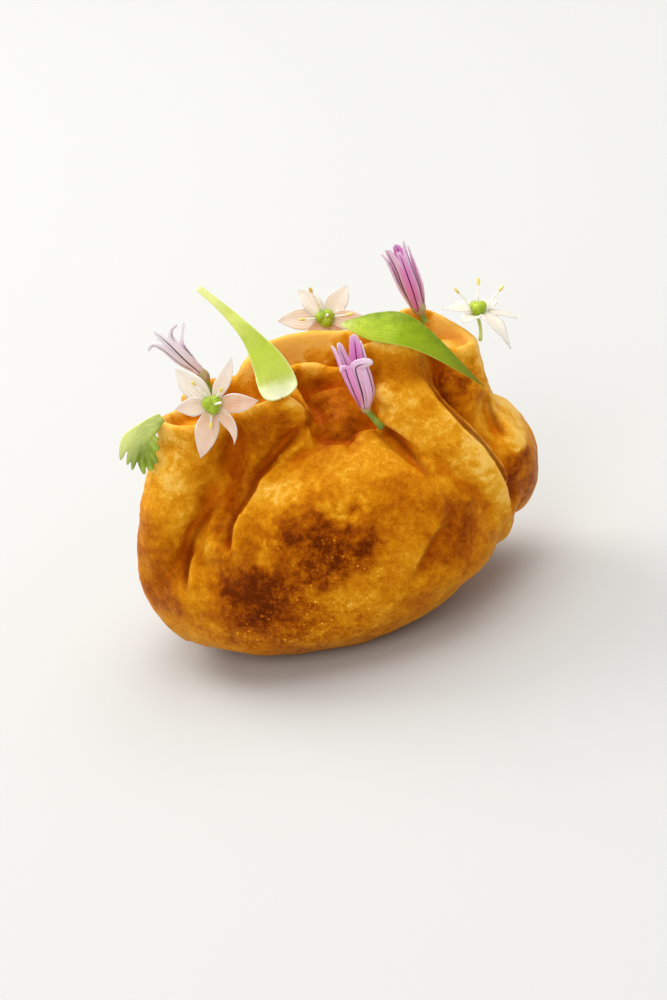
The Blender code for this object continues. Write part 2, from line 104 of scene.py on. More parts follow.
GATHERS = (
    ((-17.8, -2.0, 34.3, 5.0), (-20.0, -2.8, 29.5, 5.8), (-22.2, -3.8, 24.7, 6.1), (-26.3, -4.0, 16.6, 4.4),
     (-26.9, -3.5, 10.5, 3.4), (-25.2, -3.0, 6.0, 3.0)),
    ((-4.8, -3.6, 33.0, 5.6), (-10.8, -4.2, 27.5, 5.8), (-15.5, -5.0, 22.0, 5.8)),
    ((-3.4, -8.6, 28.0, 4.6), (-6.6, -9.0, 24.5, 6.2), (-11.5, -8.6, 18.0, 7.0)),
    ((13.2, -2.0, 38.0, 4.2), (14.2, -6.4, 31.4, 4.8), (17.6, -9.0, 26.0, 4.7), (20.8, -9.0, 19.0, 4.5),
     (20.8, -7.6, 12.5, 4.0)),
    ((2.9, 2.6, 33.2, 4.4), (3.1, -1.0, 29.6, 5.6), (3.2, -4.8, 25.8, 6.2)),
    ((14.5, 1.4, 34.6, 3.4), (18.6, 2.6, 34.2, 3.8), (22.4, 2.8, 32.8, 3.6)),
    ((21.6, 0.8, 33.5, 4.0), (21.8, -0.5, 27.0, 4.6), (23.0, -1.5, 18.0, 5.0)),
    ((-13.5, 2.6, 33.0, 4.8), (-18.5, 6.6, 25.5, 5.6), (-22.0, 8.0, 15.0, 5.2)),
    ((-4.5, 3.6, 33.5, 5.0), (-8.0, 9.0, 28.5, 5.6), (-12.5, 12.6, 20.0, 5.4), (-14.0, 12.6, 13.0, 4.6)),
    ((7.0, 3.2, 33.5, 5.0), (9.5, 8.6, 28.0, 5.6), (12.5, 11.6, 20.0, 5.4), (13.5, 12.0, 13.0, 4.6)),
    ((18.0, 3.4, 33.0, 4.8), (20.5, 6.4, 26.0, 5.4), (22.0, 7.6, 17.0, 5.2)),
)
DOME = 0.5
ROUNDNESS = 5

# Dough surface: cells and smoothing of the shape and of its relief (height, size, seed), and faces kept
VOXEL = 0.3
SMOOTHING_STEPS = 14
FINE_VOXEL = 0.24
FINE_SMOOTHING_STEPS = 6
FACES_KEPT = 0.45
FOLD_STEPS = 4
FOLD_REACH = 6
NARROW_FOLD = 0.9
CREASE_REACH = 0.55
BLISTERS = 260
BLISTER_RADII = (0.2, 0.5)
RELIEF = ((0.13, 8.0, 3), (0.045, 3.4, 5), (0.018, 1.3, 7))
HOLLOW_STEPS = 110
RIM_REACH = 1.5
PATCH_WANDER = 1.1
BACK_TOAST = 0.16
WAVES = 14

# Folds pressed into the dough, as seen from the camera without its roll: the widths and the lips of the left
# and the right side, the fades at the start and the end, and then the places (across, up, depth)
FOLDS = (
    # The valley between left pillar and ear
    ((1.7, 2.6), (0, 0), (0.15, 0.3), (-10.7, 29.8, 0.4), (-11.8, 27.4, 1.4), (-13.2, 24.8, 2.2),
     (-15.0, 22.2, 2.4), (-17.1, 20.1, 2.0), (-19.3, 18.2, 1.2)),
    # Its crisp lower end
    ((1.7, 0.5), (0, 0.45), (0.25, 0.3), (-15.9, 21.0, 0.5), (-18.7, 18.8, 1.2), (-21.0, 16.8, 1.8),
     (-22.5, 14.7, 2.0), (-23.8, 12.3, 1.9), (-24.8, 9.9, 1.4), (-25.7, 7.8, 0.8)),
    # The belly's left edge
    ((2.1, 0.45), (0, 0.6), (0.0, 0.08), (-1.9, 27.2, 1.4), (-3.9, 26.1, 1.9), (-6.0, 24.8, 2.1),
     (-8.3, 23.3, 2.3), (-10.4, 22.1, 2.3), (-11.6, 20.6, 2.2), (-13.7, 18.7, 2.2), (-15.4, 17.1, 2.4),
     (-16.4, 15.3, 2.4), (-17.1, 13.7, 2.0), (-17.7, 12.5, 1.0)),
    # The wedge between them
    ((1.3, 1.1), (0, 0), (0.2, 0.4), (-17.8, 16.8, -0.3), (-19.2, 14.9, -0.7), (-20.7, 12.7, -0.7),
     (-22.0, 9.6, -0.3)),
    # The belly against the broad roll
    ((1.3, 0.7), (0, 0.4), (0.1, 0.3), (9.2, 24.5, 1.2), (10.2, 23.7, 1.5), (11.1, 22.5, 1.6),
     (12.0, 20.9, 1.6), (12.8, 19.4, 1.5), (13.5, 17.9, 1.1), (14.2, 16.3, 0.7), (14.6, 14.5, 0.3)),
    # The soft fold in the belly's right
    ((0.5, 2.8), (0.15, 0), (0.2, 0.25), (15.2, 14.2, 0.2), (16.1, 11.8, 0.35), (16.0, 9.5, 0.45),
     (14.7, 7.8, 0.6), (13.3, 6.6, 0.8), (11.9, 5.3, 0.9), (10.6, 3.7, 0.9), (8.7, 1.7, 0.7),
     (7.1, -0.2, 0.3)),
    # The broad roll over the dark lobe
    ((0.6, 2.2), (0.5, 0), (0.15, 0.12), (17.7, 30.6, 0.3), (17.8, 28.5, 0.7), (18.7, 26.1, 1.2),
     (19.9, 24.0, 1.4), (21.1, 22.1, 1.6), (22.3, 20.3, 1.9), (23.4, 18.4, 2.3), (24.3, 16.3, 2.9),
     (25.0, 14.3, 3.3), (25.5, 12.2, 3.4), (25.7, 10.1, 3.0), (25.6, 8.3, 1.6), (25.3, 6.8, 0.5)),
    # The dark lobe's swell
    ((3.0, 3.0), (0, 0), (0.2, 0.3), (19.6, 30.4, -0.5), (21.1, 27.7, -1.0), (22.4, 25.0, -1.0),
     (23.4, 22.1, -0.5)),
    # The dark lobe against the right lobe
    ((1.8, 0.8), (0, 0.3), (0.2, 0.3), (25.7, 25.9, 0.8), (25.5, 24.0, 1.2), (25.6, 22.3, 1.3),
     (26.1, 20.2, 1.1), (26.9, 18.2, 0.7)),
    # The right lobe's ridge
    ((1.0, 1.2), (0, 0), (0.2, 0.2), (25.9, 23.0, -0.3), (27.2, 20.1, -0.7), (28.5, 17.8, -0.7),
     (29.4, 16.3, -0.4)),
    # The belly under the middle wall
    ((0.7, 1.5), (0.3, 0), (0.1, 0.05), (-1.1, 26.8, 0.5), (-0.3, 25.9, 0.7), (0.7, 25.0, 0.7),
     (2.1, 24.6, 0.8), (3.6, 24.4, 1.1), (4.6, 24.4, 1.0), (5.5, 24.9, 0.7), (6.8, 25.0, 0.7),
     (8.9, 24.6, 0.9)),
    # The soft valley below the pit
    ((1.0, 1.0), (0, 0), (0.0, 0.5), (3.9, 24.0, 0.7), (4.4, 22.8, 0.5), (5.7, 22.2, 0.3)),
    # The belly's left peak
    ((1.2, 1.4), (0, 0), (0.0, 0.5), (-1.6, 26.6, -0.5), (-1.2, 24.6, -0.4), (-0.6, 22.3, -0.2)),
    # The belly's right ridge
    ((1.4, 1.4), (0, 0), (0.3, 0.3), (5.6, 24.1, -0.4), (7.6, 23.6, -0.5), (9.6, 21.7, -0.4)),
    # The hollow right of the ear
    ((1.6, 2.4), (0, 0), (0.2, 0.2), (0.7, 30.7, 0.4), (1.1, 28.8, 0.9), (1.4, 27.2, 0.8)),
    # The ear's right edge
    ((0.4, 1.6), (0.3, 0), (0.1, 0.0), (-1.4, 31.3, 0.4), (-0.7, 30.0, 0.9), (-0.1, 28.5, 1.5),
     (-1.0, 27.7, 1.4), (-1.9, 27.2, 1.2)),
    # The pinch
    ((1.0, 1.0), (0, 0), (0.2, 0.2), (10.5, 30.5, -0.4), (10.8, 28.9, -0.9), (11.0, 27.2, -0.4)),
)
# Browned and pale patches, some of them painted shade and painted light as marked below: (across, up) in the
# same view, how far they reach and how much darker they are
TOAST_LIGHT_AND_SHADE_PATCHES = (
    # Left pillar: its face, its right side, the valley beside it painted lighter as its glow, its foot and
    # its lower end
    (-22.2, 27.8, 6.0, -0.22), (-16.8, 25.7, 4.0, 0.1), (-15.2, 22.6, 3.6, -0.16), (-27.6, 14.9, 5.5, 0.18),
    (-28.0, 9.3, 4.5, 0.2),
    # The ear, and painted shade under it
    (-3.6, 30.3, 4.5, 0.2), (-8.1, 27.3, 5.0, 0.18),
    # The roll's dark end, painted shade under the roll, the wedge and under it
    (-13.1, 21.4, 4.0, 0.22), (-15.6, 17.5, 3.0, 0.24), (-19.8, 14.6, 2.6, -0.14), (-22.6, 9.8, 3.5, -0.1),
    # The middle wall, its foot and the pit
    (2.1, 32.4, 5.5, 0.24), (2.6, 27.5, 5.5, 0.22), (4.1, 24.6, 1.6, 0.3),
    # The belly's peak, top, top right, upper left, pale left shoulder, left edge and golden streak
    (-1.7, 25.6, 2.6, -0.12), (2.7, 22.4, 3.6, -0.2), (7.7, 22.2, 4.2, -0.1), (-4.6, 21.9, 3.6, -0.08),
    (-7.1, 18.6, 3.4, -0.2), (-11.2, 18.3, 3.4, -0.06), (-0.3, 22.5, 2.4, 0.12),
    # Pale spots round the brown middle
    (-12.6, 11.3, 2.0, -0.3), (-7.8, 7.9, 2.0, -0.26), (-0.3, 14.9, 2.0, -0.24), (2.2, 14.6, 2.0, -0.24),
    # Orange upper right
    (8.6, 14.4, 5.0, 0.12),
    # The brown middle from its left end to its top right, and the dark streak below it
    (-6.4, 12.2, 5.6, 0.22), (-1.5, 10.6, 5.6, 0.3), (1.0, 9.0, 3.6, 0.16), (3.5, 10.2, 3.0, 0.12),
    (-5.6, 6.4, 4.0, 0.24),
    # Brown lower left, the bottom and brown left
    (-17.4, 5.2, 5.4, 0.25), (-11.5, 4.2, 5.4, 0.24), (-17.5, 0.4, 8.0, 0.12), (-6.1, -3.7, 8.0, 0.12),
    (-16.1, 10.8, 4.6, 0.14),
    # Orange and golden places right of them
    (-6.1, 3.4, 2.8, -0.14), (-2.1, 0.7, 4.0, -0.16), (5.9, 4.9, 5.5, -0.06),
    # The soft fold: its golden edge, painted shade right of it where the belly turns away from the light,
    # under it, and the pale lower right
    (10.9, 5.1, 3.0, -0.16), (14.1, 4.2, 5.0, 0.22), (9.5, -0.6, 3.4, 0.12), (14.8, 0.5, 2.0, -0.16),
    # The broad roll: its top, face, painted highlight on its ridge, end and right foot, and the pinch
    (13.7, 33.1, 4.4, 0.12), (16.4, 22.3, 6.0, -0.08), (21.5, 19.3, 3.4, -0.26), (23.7, 15.6, 3.2, -0.28),
    (24.7, 9.5, 3.8, -0.3), (19.2, 8.5, 6.0, 0.2), (10.9, 28.6, 2.2, -0.32),
    # The back wall, painted lighter where the back light falls on it
    (-4.7, 39.4, 4.0, -0.26), (-1.0, 39.3, 4.0, -0.28), (2.8, 38.4, 4.0, -0.24),
    # The dark lobe: its top, face and foot
    (19.6, 30.1, 4.2, 0.26), (21.4, 26.4, 4.6, 0.24), (23.1, 22.4, 3.6, -0.1),
    # The right cup, its shaded floor painted lighter
    (21.9, 35.1, 4.0, -0.3), (23.0, 33.1, 3.0, -0.2),
    # The dark lobe's right edge, the right lobe painted lighter where the back light falls on it, its ridge,
    # and painted shade in the pocket under it and at its end
    (25.5, 30.9, 3.6, -0.22), (27.5, 23.3, 4.4, -0.36), (28.6, 18.2, 2.4, -0.2), (26.1, 13.4, 2.6, 0.26),
    (28.3, 11.3, 4.6, 0.36),
)

# Petals and leaves, in millimetres
PETAL_THICKNESS = 0.14
LEAF_THICKNESS = 0.24
PETAL_ROWS = 28
ROUND_TIP = 0.12
PETAL_GLOW = 0.35
LILAC_GLOW = 0.16
TAGS = ("along", "across", "tone")
PETAL_ROOT = 0.4
STAR_WHORL_STEP = 0.16
OVARY_LOBES = 3
# Width of a star flower's petal at even steps from its root to its tip, as shares of its full width
STAR_OUTLINE = (0.34, 0.62, 0.9, 1.0, 0.93, 0.72, 0.42, 0.04)
# Each star flower: middle, where it faces, and its petals as (angle, length, rise of the tip, width, sideways
# hook, how much of the crust's colour is painted through it, as if seen through the thin petal)
STARS = (
    (
        "star_flower_left", (-13.2, -9.5, 42.6), (-0.1, -0.93, 0.35),
        (243, 7.9, 0.3, 3.3, -0.1, 0.75), (299, 6.2, 1.6, 1.7, -1.5, 0.8), (348, 6.5, 0.5, 2.8, 0.2, 1.0),
        (50, 7.1, -0.8, 2.1, 0.4, 0.25), (124, 7.3, -0.3, 3.4, -0.3, 0.1), (172, 5.3, 0.7, 2.7, 0.1, 0.4),
    ),
    (
        "star_flower_back", (5.5, 10.6, 42.1), (0.05, -0.86, 0.5),
        (167, 7.0, 0.4, 3.3, 0.2, 0.3), (116, 6.0, -0.4, 2.8, 0.2, 0.15), (40, 6.1, -0.4, 3.2, 0.3, 0.2),
        (342, 6.6, 0.4, 3.0, -0.3, 0.5), (286, 4.6, -1.0, 3.0, 0.0, 0.9), (226, 4.6, -1.0, 3.0, 0.0, 0.9),
    ),
    (
        "star_flower_right", (27.3, 5.4, 38.9), (0.26, 0.06, 0.96),
        (355, 5.9, -0.6, 2.8, 0.3, 0.0), (52, 5.4, 0.6, 2.8, 0.0, 0.0), (118, 5.4, 0.6, 2.8, 0.0, 0.0),
        (178, 5.3, 0.6, 2.8, 0.2, 0.0), (240, 5.3, 0.2, 2.8, -0.2, 0.0), (305, 6.8, -3.8, 2.6, 0.4, 0.0),
    ),
)
# Per star flower: the ends of the stamens, the end of the style, and the stalk as (x, y, z, radius)
STAR_STAMENS = (
    ((-14.9, -10.9, 47.0), (-11.5, -11.2, 45.1), (-14.2, -11.3, 40.4)),
    ((4.5, 9.0, 47.8), (9.1, 9.2, 42.4), (2.2, 9.0, 43.6)),
    ((25.0, 5.0, 43.4), (31.4, 5.0, 41.9), (28.6, 8.0, 42.6)),
)
STAR_STYLES = ((-11.9, -12.2, 43.7), (6.0, 8.4, 43.6), (27.7, 5.2, 41.6))
STAR_STALKS = (
    ((-13.1, -8.8, 42.4, 0.4), (-12.8, -5.5, 40.6, 0.42), (-12.8, -1.6, 36.6, 0.45)),
    ((5.5, 10.8, 41.9, 0.4), (5.4, 11.0, 39.0, 0.42), (5.2, 9.9, 34.8, 0.45)),
    ((27.2, 5.4, 38.2, 0.24), (27.1, 4.8, 36.6, 0.26), (26.6, 3.8, 35.2, 0.32)),
)
# Each chive floret: its foot and the foot's radii, its stalk, and its petals as how vivid each is (0 pale to
# 1 vivid) and its middle line as (x, y, z, width)
FLORETS = (
    (
        "floret_left", (-13.5, 1.0, 42.1), (0.85, 0.85, 1.3),
        ((-13.5, 1.0, 42.3, 0.5), (-13.4, 0.8, 39.5, 0.4), (-13.2, 0.4, 36.0, 0.42)),
        (
            (0.06, (-13.7, 0.8, 42.6, 0.9), (-16.3, -0.3, 45.7, 1.5), (-18.2, -0.6, 48.7, 1.2),
             (-19.5, -0.4, 49.7, 0.6), (-20.4, -0.2, 49.0, 0.5)),
            (0.06, (-13.7, 0.6, 42.7, 1.0), (-15.5, -0.4, 46.0, 2.1), (-17.1, -0.6, 49.2, 1.6),
             (-18.0, -0.3, 50.6, 0.8), (-18.8, 0.2, 51.6, 0.5)),
            (0.06, (-13.5, 1.4, 42.6, 1.0), (-14.3, 1.7, 45.5, 2.3), (-15.1, 2.0, 47.8, 1.6),
             (-14.8, 2.4, 49.4, 0.6), (-14.3, 2.6, 50.7, 0.5)),
            (0.06, (-13.6, 1.0, 42.7, 1.0), (-15.1, 1.0, 46.4, 2.0), (-16.5, 1.2, 49.2, 1.3),
             (-16.3, 1.6, 50.4, 0.6), (-15.4, 1.8, 51.0, 0.5)),
            (0.06, (-13.6, 1.8, 42.4, 0.9), (-15.4, 2.6, 44.8, 1.8), (-16.9, 3.2, 46.9, 1.4),
             (-18.1, 3.6, 48.4, 0.6), (-19.0, 3.8, 48.8, 0.5)),
        ),
    ),
    (
        "floret_middle", (7.6, -8.6, 35.0), (0.75, 0.75, 0.9),
        ((7.6, -8.6, 35.1, 0.5), (8.3, -8.9, 33.7, 0.46), (9.2, -9.3, 31.9, 0.55)),
        (
            (0.7, (6.8, -8.8, 35.7, 0.9), (6.0, -9.4, 38.7, 1.9), (5.4, -9.6, 42.0, 1.8),
             (5.2, -9.3, 44.5, 1.5), (5.0, -9.0, 46.3, 1.0)),
            (0.6, (7.1, -8.0, 35.4, 1.0), (7.0, -7.8, 38.4, 1.6), (6.5, -7.6, 42.0, 1.6),
             (6.2, -7.4, 44.1, 1.3), (6.1, -7.2, 45.7, 0.9)),
            (1.0, (7.6, -7.6, 35.1, 1.0), (7.8, -7.2, 38.4, 2.0), (8.1, -7.0, 42.0, 2.0),
             (8.4, -6.9, 44.4, 1.7), (8.6, -6.8, 46.2, 1.2)),
            (0.4, (8.1, -8.0, 35.3, 1.0), (9.1, -7.6, 37.7, 1.8), (9.2, -7.4, 40.5, 1.8),
             (9.2, -7.2, 43.0, 1.4), (9.3, -7.0, 45.1, 0.7)),
            (0.85, (6.9, -9.4, 36.0, 0.9), (6.5, -10.2, 38.9, 1.9), (6.2, -10.7, 41.6, 1.9),
             (6.1, -11.0, 43.1, 1.6), (5.5, -11.5, 43.3, 1.0)),
            (0.45, (7.4, -9.6, 35.7, 0.9), (7.6, -10.4, 38.5, 2.0), (7.5, -10.9, 41.5, 1.9),
             (7.6, -11.2, 43.0, 1.7), (8.5, -11.9, 43.6, 1.6), (10.1, -12.5, 43.8, 1.1)),
            (0.5, (8.2, -9.2, 35.5, 0.9), (9.1, -9.9, 37.8, 2.0), (9.2, -10.2, 40.5, 2.0),
             (9.1, -10.2, 42.5, 1.6), (9.0, -10.0, 43.7, 0.9)),
        ),
    ),
    (
        "floret_right", (19.1, 5.0, 41.8), (1.1, 1.1, 1.5),
        ((19.1, 5.0, 42.0, 0.5), (19.2, 4.8, 41.0, 0.5), (19.4, 4.6, 39.9, 0.6)),
        (
            (0.45, (18.2, 4.4, 42.3, 1.2), (17.5, 4.0, 45.9, 2.3), (17.1, 3.7, 49.5, 2.2),
             (16.6, 3.7, 51.9, 1.5), (16.3, 3.8, 53.0, 0.8)),
            (0.5, (19.7, 4.4, 42.3, 1.2), (19.8, 4.1, 45.9, 2.3), (19.4, 3.9, 49.4, 2.0),
             (19.2, 4.2, 51.9, 1.0), (19.2, 4.6, 53.4, 0.5)),
            (1.0, (18.9, 5.6, 42.4, 1.2), (18.6, 6.0, 46.0, 2.6), (18.4, 6.0, 49.6, 2.4),
             (18.2, 5.8, 51.6, 1.5), (17.9, 5.6, 52.8, 0.9)),
            (0.3, (17.9, 5.2, 42.4, 1.0), (16.8, 5.0, 46.0, 1.9), (16.2, 4.8, 49.6, 1.5),
             (15.8, 4.6, 51.4, 0.8), (15.3, 4.6, 52.3, 0.5)),
            (0.4, (20.0, 5.4, 42.2, 1.0), (20.5, 5.2, 45.6, 1.9), (20.2, 5.2, 49.0, 1.5),
             (19.9, 5.2, 51.0, 0.7), (19.8, 5.2, 52.3, 0.5)),
            (0.9, (18.9, 3.9, 42.3, 1.0), (18.7, 3.3, 45.9, 1.7), (18.4, 3.1, 49.2, 1.5),
             (18.2, 3.2, 51.2, 0.9), (17.9, 3.3, 52.4, 0.7)),
        ),
    ),
)
# Leaves: middle lines with widths
CRESS_LEAF = (
    (-11.0, 0.0, 56.3, 1.0), (-8.4, -2.0, 53.2, 1.4), (-5.8, -4.5, 49.3, 2.5), (-4.2, -7.0, 45.6, 4.6),
    (-3.7, -8.8, 43.4, 5.5), (-3.6, -9.8, 42.1, 5.2), (-3.5, -10.2, 41.2, 3.4),
)
CRESS_FACING = ((-0.25, -0.9, 0.4), (0.25, -0.9, 0.4))
LONG_LEAF = (
    (7.4, -3.3, 46.7, 0.6), (9.8, -4.6, 46.4, 3.0), (11.9, -5.6, 46.1, 4.4), (15.2, -7.0, 45.4, 4.8),
    (18.2, -7.4, 42.8, 3.6), (21.6, -7.6, 38.2, 1.7), (24.9, -6.6, 32.9, 0.2),
)
LONG_FACING = ((0.22, -0.72, 0.64), (0.22, -0.8, 0.5))
LEAF_ROWS = 48
LEAF_COLUMNS = 20
# Coriander: the fingers in its own plane as (across, up, width) from the hub
HERB_HUB = (-24.2, -5.5, 38.8)
HERB_FACING = (-0.3, -0.9, 0.3)
HERB_THICKNESS = 0.34
HERB_ARCH = 0.0175
HERB_VOXEL = 0.09
HERB_SMOOTHING_STEPS = 6
HERB_VEIN = 0.28
HERB_FINGERS = (
    ((3.4, 2.0, 1.3), (2.2, 1.4, 2.0), (0.8, 0.7, 2.4), (-0.1, 0.0, 2.4), (-0.9, -0.9, 1.6)),
    ((1.4, 1.6, 1.2), (-0.5, 0.8, 1.6), (-2.3, 0.0, 1.7), (-3.5, -1.1, 1.15), (-4.6, -2.8, 0.3)),
    ((0.0, 0.0, 1.2), (-1.7, -1.0, 1.3), (-2.8, -2.3, 0.85), (-3.8, -3.7, 0.25)),
    ((-0.4, -0.3, 1.2), (-1.5, -1.8, 1.2), (-2.4, -3.1, 0.85), (-3.3, -4.6, 0.25)),
    ((0.1, -0.3, 1.4), (-0.6, -2.3, 1.5), (-1.4, -3.8, 1.15), (-1.7, -5.6, 0.35)),
    ((0.1, -0.9, 1.2), (-0.2, -2.8, 1.3), (-0.3, -4.2, 1.1), (-0.4, -5.3, 0.9)),
    ((0.2, -1.6, 1.0), (0.5, -3.3, 1.0), (0.8, -4.4, 0.5)),
    ((0.4, -0.4, 1.2), (0.9, -1.3, 1.4), (1.2, -2.0, 1.3), (1.4, -2.6, 0.9)),
    ((0.9, 0.2, 1.0), (1.4, -0.6, 0.9), (1.9, -1.3, 0.6)),
    ((0.2, 0.3, 1.6), (1.2, 0.5, 1.6), (2.0, 0.6, 1.3), (2.5, 0.7, 0.8)),
)


# Crust colours from barely baked to darkest, then the painted glow of light through the dough in hollows and
# the painted shade at the bottoms of narrow folds
COMMON_BAKE = 0.47
CRUST_STOPS = (
    (0.0, (0.92, 0.62, 0.20)),
    (0.14, (0.85, 0.48, 0.07)),
    (0.30, (0.74, 0.33, 0.012)),
    (0.46, (0.61, 0.215, 0.003)),
    (0.62, (0.46, 0.125, 0.0015)),
    (0.77, (0.31, 0.064, 0.001)),
    (0.89, (0.19, 0.030, 0.0006)),
    (1.0, (0.11, 0.015, 0.0004)),
)
HOLLOW_PAINTED_GLOW = (0.66, 0.115, 0.0006)
CREASE_SHADE = (0.20, 0.025, 0.0005)
# Petal colours from root to tip: white, and warm with the crust's colour painted through, for the star
# flowers; pale and vivid for the florets
WHITE_STOPS = ((0.0, (0.88, 0.90, 0.58)), (0.25, (0.97, 0.94, 0.84)), (1.0, (0.98, 0.97, 0.93)))
CRUST_SHOW_THROUGH_STOPS = ((0.0, (0.84, 0.70, 0.30)), (0.25, (0.94, 0.62, 0.38)), (1.0, (0.96, 0.72, 0.56)))
PALE_STOPS = (
    (0.0, (0.97, 0.78, 0.78)),
    (0.22, (0.99, 0.92, 0.97)),
    (0.6, (0.99, 0.96, 0.99)),
    (1.0, (0.99, 0.98, 0.99)),
)
VIVID_STOPS = (
    (0.0, (0.50, 0.09, 0.20)),
    (0.18, (0.90, 0.14, 0.50)),
    (0.5, (0.98, 0.22, 0.74)),
    (0.8, (0.98, 0.40, 0.86)),
    (1.0, (0.98, 0.80, 0.94)),
)
# Leaf looks: colours from stalk to tip, then the colours and amounts of what lies over them, the dark one
# painted shade along one side
CRESS_LOOK = {
    "stops": (
        (0.0, (0.96, 0.98, 0.44)),
        (0.20, (0.92, 0.96, 0.26)),
        (0.42, (0.56, 0.70, 0.05)),
        (0.64, (0.54, 0.62, 0.09)),
        # The pale spoon end: a paler leaf tip, and painted light on the cup's inner face
        (0.76, (0.90, 0.92, 0.56)),
        (1.0, (0.97, 0.98, 0.74)),
    ),
    "blotches": (0.40, 0.50, 0.03),
    "rim": (0.86, 0.95, 0.42),
    "dark": (0.44, 0.56, 0.03),
    "veins": 7,
    "vein_share": 0.07,
    "dark_share": 0.22,
    "roughness": 0.4,
    "glow": 0.14,
}
LONG_LOOK = {
    "stops": (
        (0.0, (0.88, 0.94, 0.34)),
        (0.16, (0.64, 0.80, 0.06)),
        (0.5, (0.40, 0.56, 0.008)),
        (0.8, (0.27, 0.34, 0.003)),
        (1.0, (0.22, 0.14, 0.002)),
    ),
    "blotches": (0.30, 0.48, 0.004),
    "rim": (0.66, 0.80, 0.10),
    "dark": (0.12, 0.20, 0.001),
    "veins": 11,
    "vein_share": 0.20,
    "dark_share": 1.5,
    "roughness": 0.34,
    "glow": 0.12,
}
HERB_STOPS = ((0.3, (0.14, 0.22, 0.001)), (0.5, (0.26, 0.37, 0.002)), (0.7, (0.42, 0.54, 0.015)))
HERB_GLOW = 0.2
FLOOR_SIZE = 3.0
FLOOR_COLOUR = (0.54, 0.545, 0.545)
LAMP_COLOUR = (1.0, 0.985, 0.94)


def vec(*values):
    return Vector(values)


def smooth_line(points, steps):
    """A Catmull-Rom line through the points."""
    ends = [points[0], *points, points[-1]]
    line = []
    for a, b, c, d in zip(ends, ends[1:], ends[2:], ends[3:]):
        for step in range(steps):
            t = step / steps
            bend = (2 * a - 5 * b + 4 * c - d) * t**2 + (3 * b - a - 3 * c + d) * t**3
            line.append(b + 0.5 * ((c - a) * t + bend))
    line.append(points[-1])
    return line


def mesh_from(name, bm):
    mesh = bpy.data.meshes.new(name)
    bm.to_mesh(mesh)
    bm.free()
    return mesh


def placed(name, data):
    """A new object in the scene."""
    made = bpy.data.objects.new(name, data)
    bpy.context.scene.collection.objects.link(made)
    return made


def evaluated_mesh(made):
    """The mesh that an object's curve or modifiers make. The object and its own data are removed."""
    bpy.context.view_layer.update()
    mesh = bpy.data.meshes.new_from_object(made.evaluated_get(bpy.context.evaluated_depsgraph_get()))
    old = made.data
    bpy.data.objects.remove(made)
    (bpy.data.curves if isinstance(old, bpy.types.Curve) else bpy.data.meshes).remove(old)
    return mesh


def with_modifiers(mesh, *modifiers):
    """The mesh as a list of (type, settings) modifiers leaves it."""
    made = placed("shape", mesh)
    for kind, settings in modifiers:
        modifier = made.modifiers.new(kind, kind)
        for name, value in settings.items():
            setattr(modifier, name, value)
    return evaluated_mesh(made)


def remeshed(mesh, voxel, steps):
    """The mesh rebuilt from cells of this size, which joins what overlaps, and smoothed."""
    cells = ("REMESH", {"mode": "VOXEL", "voxel_size": voxel * MM})
    return with_modifiers(mesh, cells, ("SMOOTH", {"factor": 0.5, "iterations": steps}))


def piece(name, bm, material, replaced=()):
    """A finished piece: its mesh is in metres and in place, and it rides on the part."""
    mesh = mesh_from(name, bm)
    mesh.shade_smooth()
    mesh.materials.append(material)
    made = placed(name, mesh)
    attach(made, "root")
    for node in replaced:
        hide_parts(node)


# ---------------------------------------------------------------- dough shape


def egg(bm, centre, radii, power=2.0):
    """A smooth ellipsoid with unlike reaches above and below its middle; a power over 2 makes it boxier."""
    across, deep, up, down = radii
    made = bmesh.ops.create_icosphere(bm, subdivisions=ROUNDNESS, radius=1.0)
    for vert in made["verts"]:
        x, y, z = vert.co / sum(abs(value) ** power for value in vert.co) ** (1 / power)
        vert.co = (Vector(centre) + vec(x * across, y * deep, z * (up if z > 0 else down))) * MM


def purse(bm):
    """The belly: a sphere drawn out to the purse's length, depth and two unlike halves."""
    made = bmesh.ops.create_icosphere(bm, subdivisions=ROUNDNESS + 1, radius=1.0)
    for vert in made["verts"]:
        side = Vector((vert.co.x, vert.co.y))
        height = vert.co.z
        power = SHOULDER_POWER if height > 0 else BILGE_POWER
        reach = (1 - min(1.0, abs(height)) ** power) ** (1 / power)
        if side.length > 0:
            side.normalize()
        x = MIDDLE_X + (RIGHT_REACH if side.x > 0 else LEFT_REACH) * reach * side.x
        y = DEPTH / 2 * reach * side.y
        stern = max(0.0, side.x * reach) ** 2
        rise = SHOULDER_RISE if height > 0 else BILGE_DROP * (1 - STERN_SHORTENING * stern)
        vert.co = vec(x, y, WIDEST_Z + height * rise + STERN_LIFT * stern) * MM


def tube(bm, points, sides=28):
    """A closed tube through (x, y, z, radius) points, with a domed end at each."""
    curve = bpy.data.curves.new("tube", "CURVE")
    curve.dimensions = "3D"
    curve.bevel_depth = MM
    curve.bevel_resolution = sides // 2
    curve.resolution_u = 16
    curve.use_fill_caps = True
    spline = curve.splines.new("BEZIER")
    spline.bezier_points.add(len(points) - 1)
    for knot, (x, y, z, radius) in zip(spline.bezier_points, points):
        knot.co = (x * MM, y * MM, z * MM)
        knot.radius = radius
        knot.handle_left_type = knot.handle_right_type = "AUTO"
    mesh = evaluated_mesh(placed("tube", curve))
    bm.from_mesh(mesh)
    bpy.data.meshes.remove(mesh)
    for end, dome in ((points[0], DOME), (points[-1], 1.0)):
        radius = end[3]
        egg(bm, end[:3], (radius, radius, radius * dome, radius))


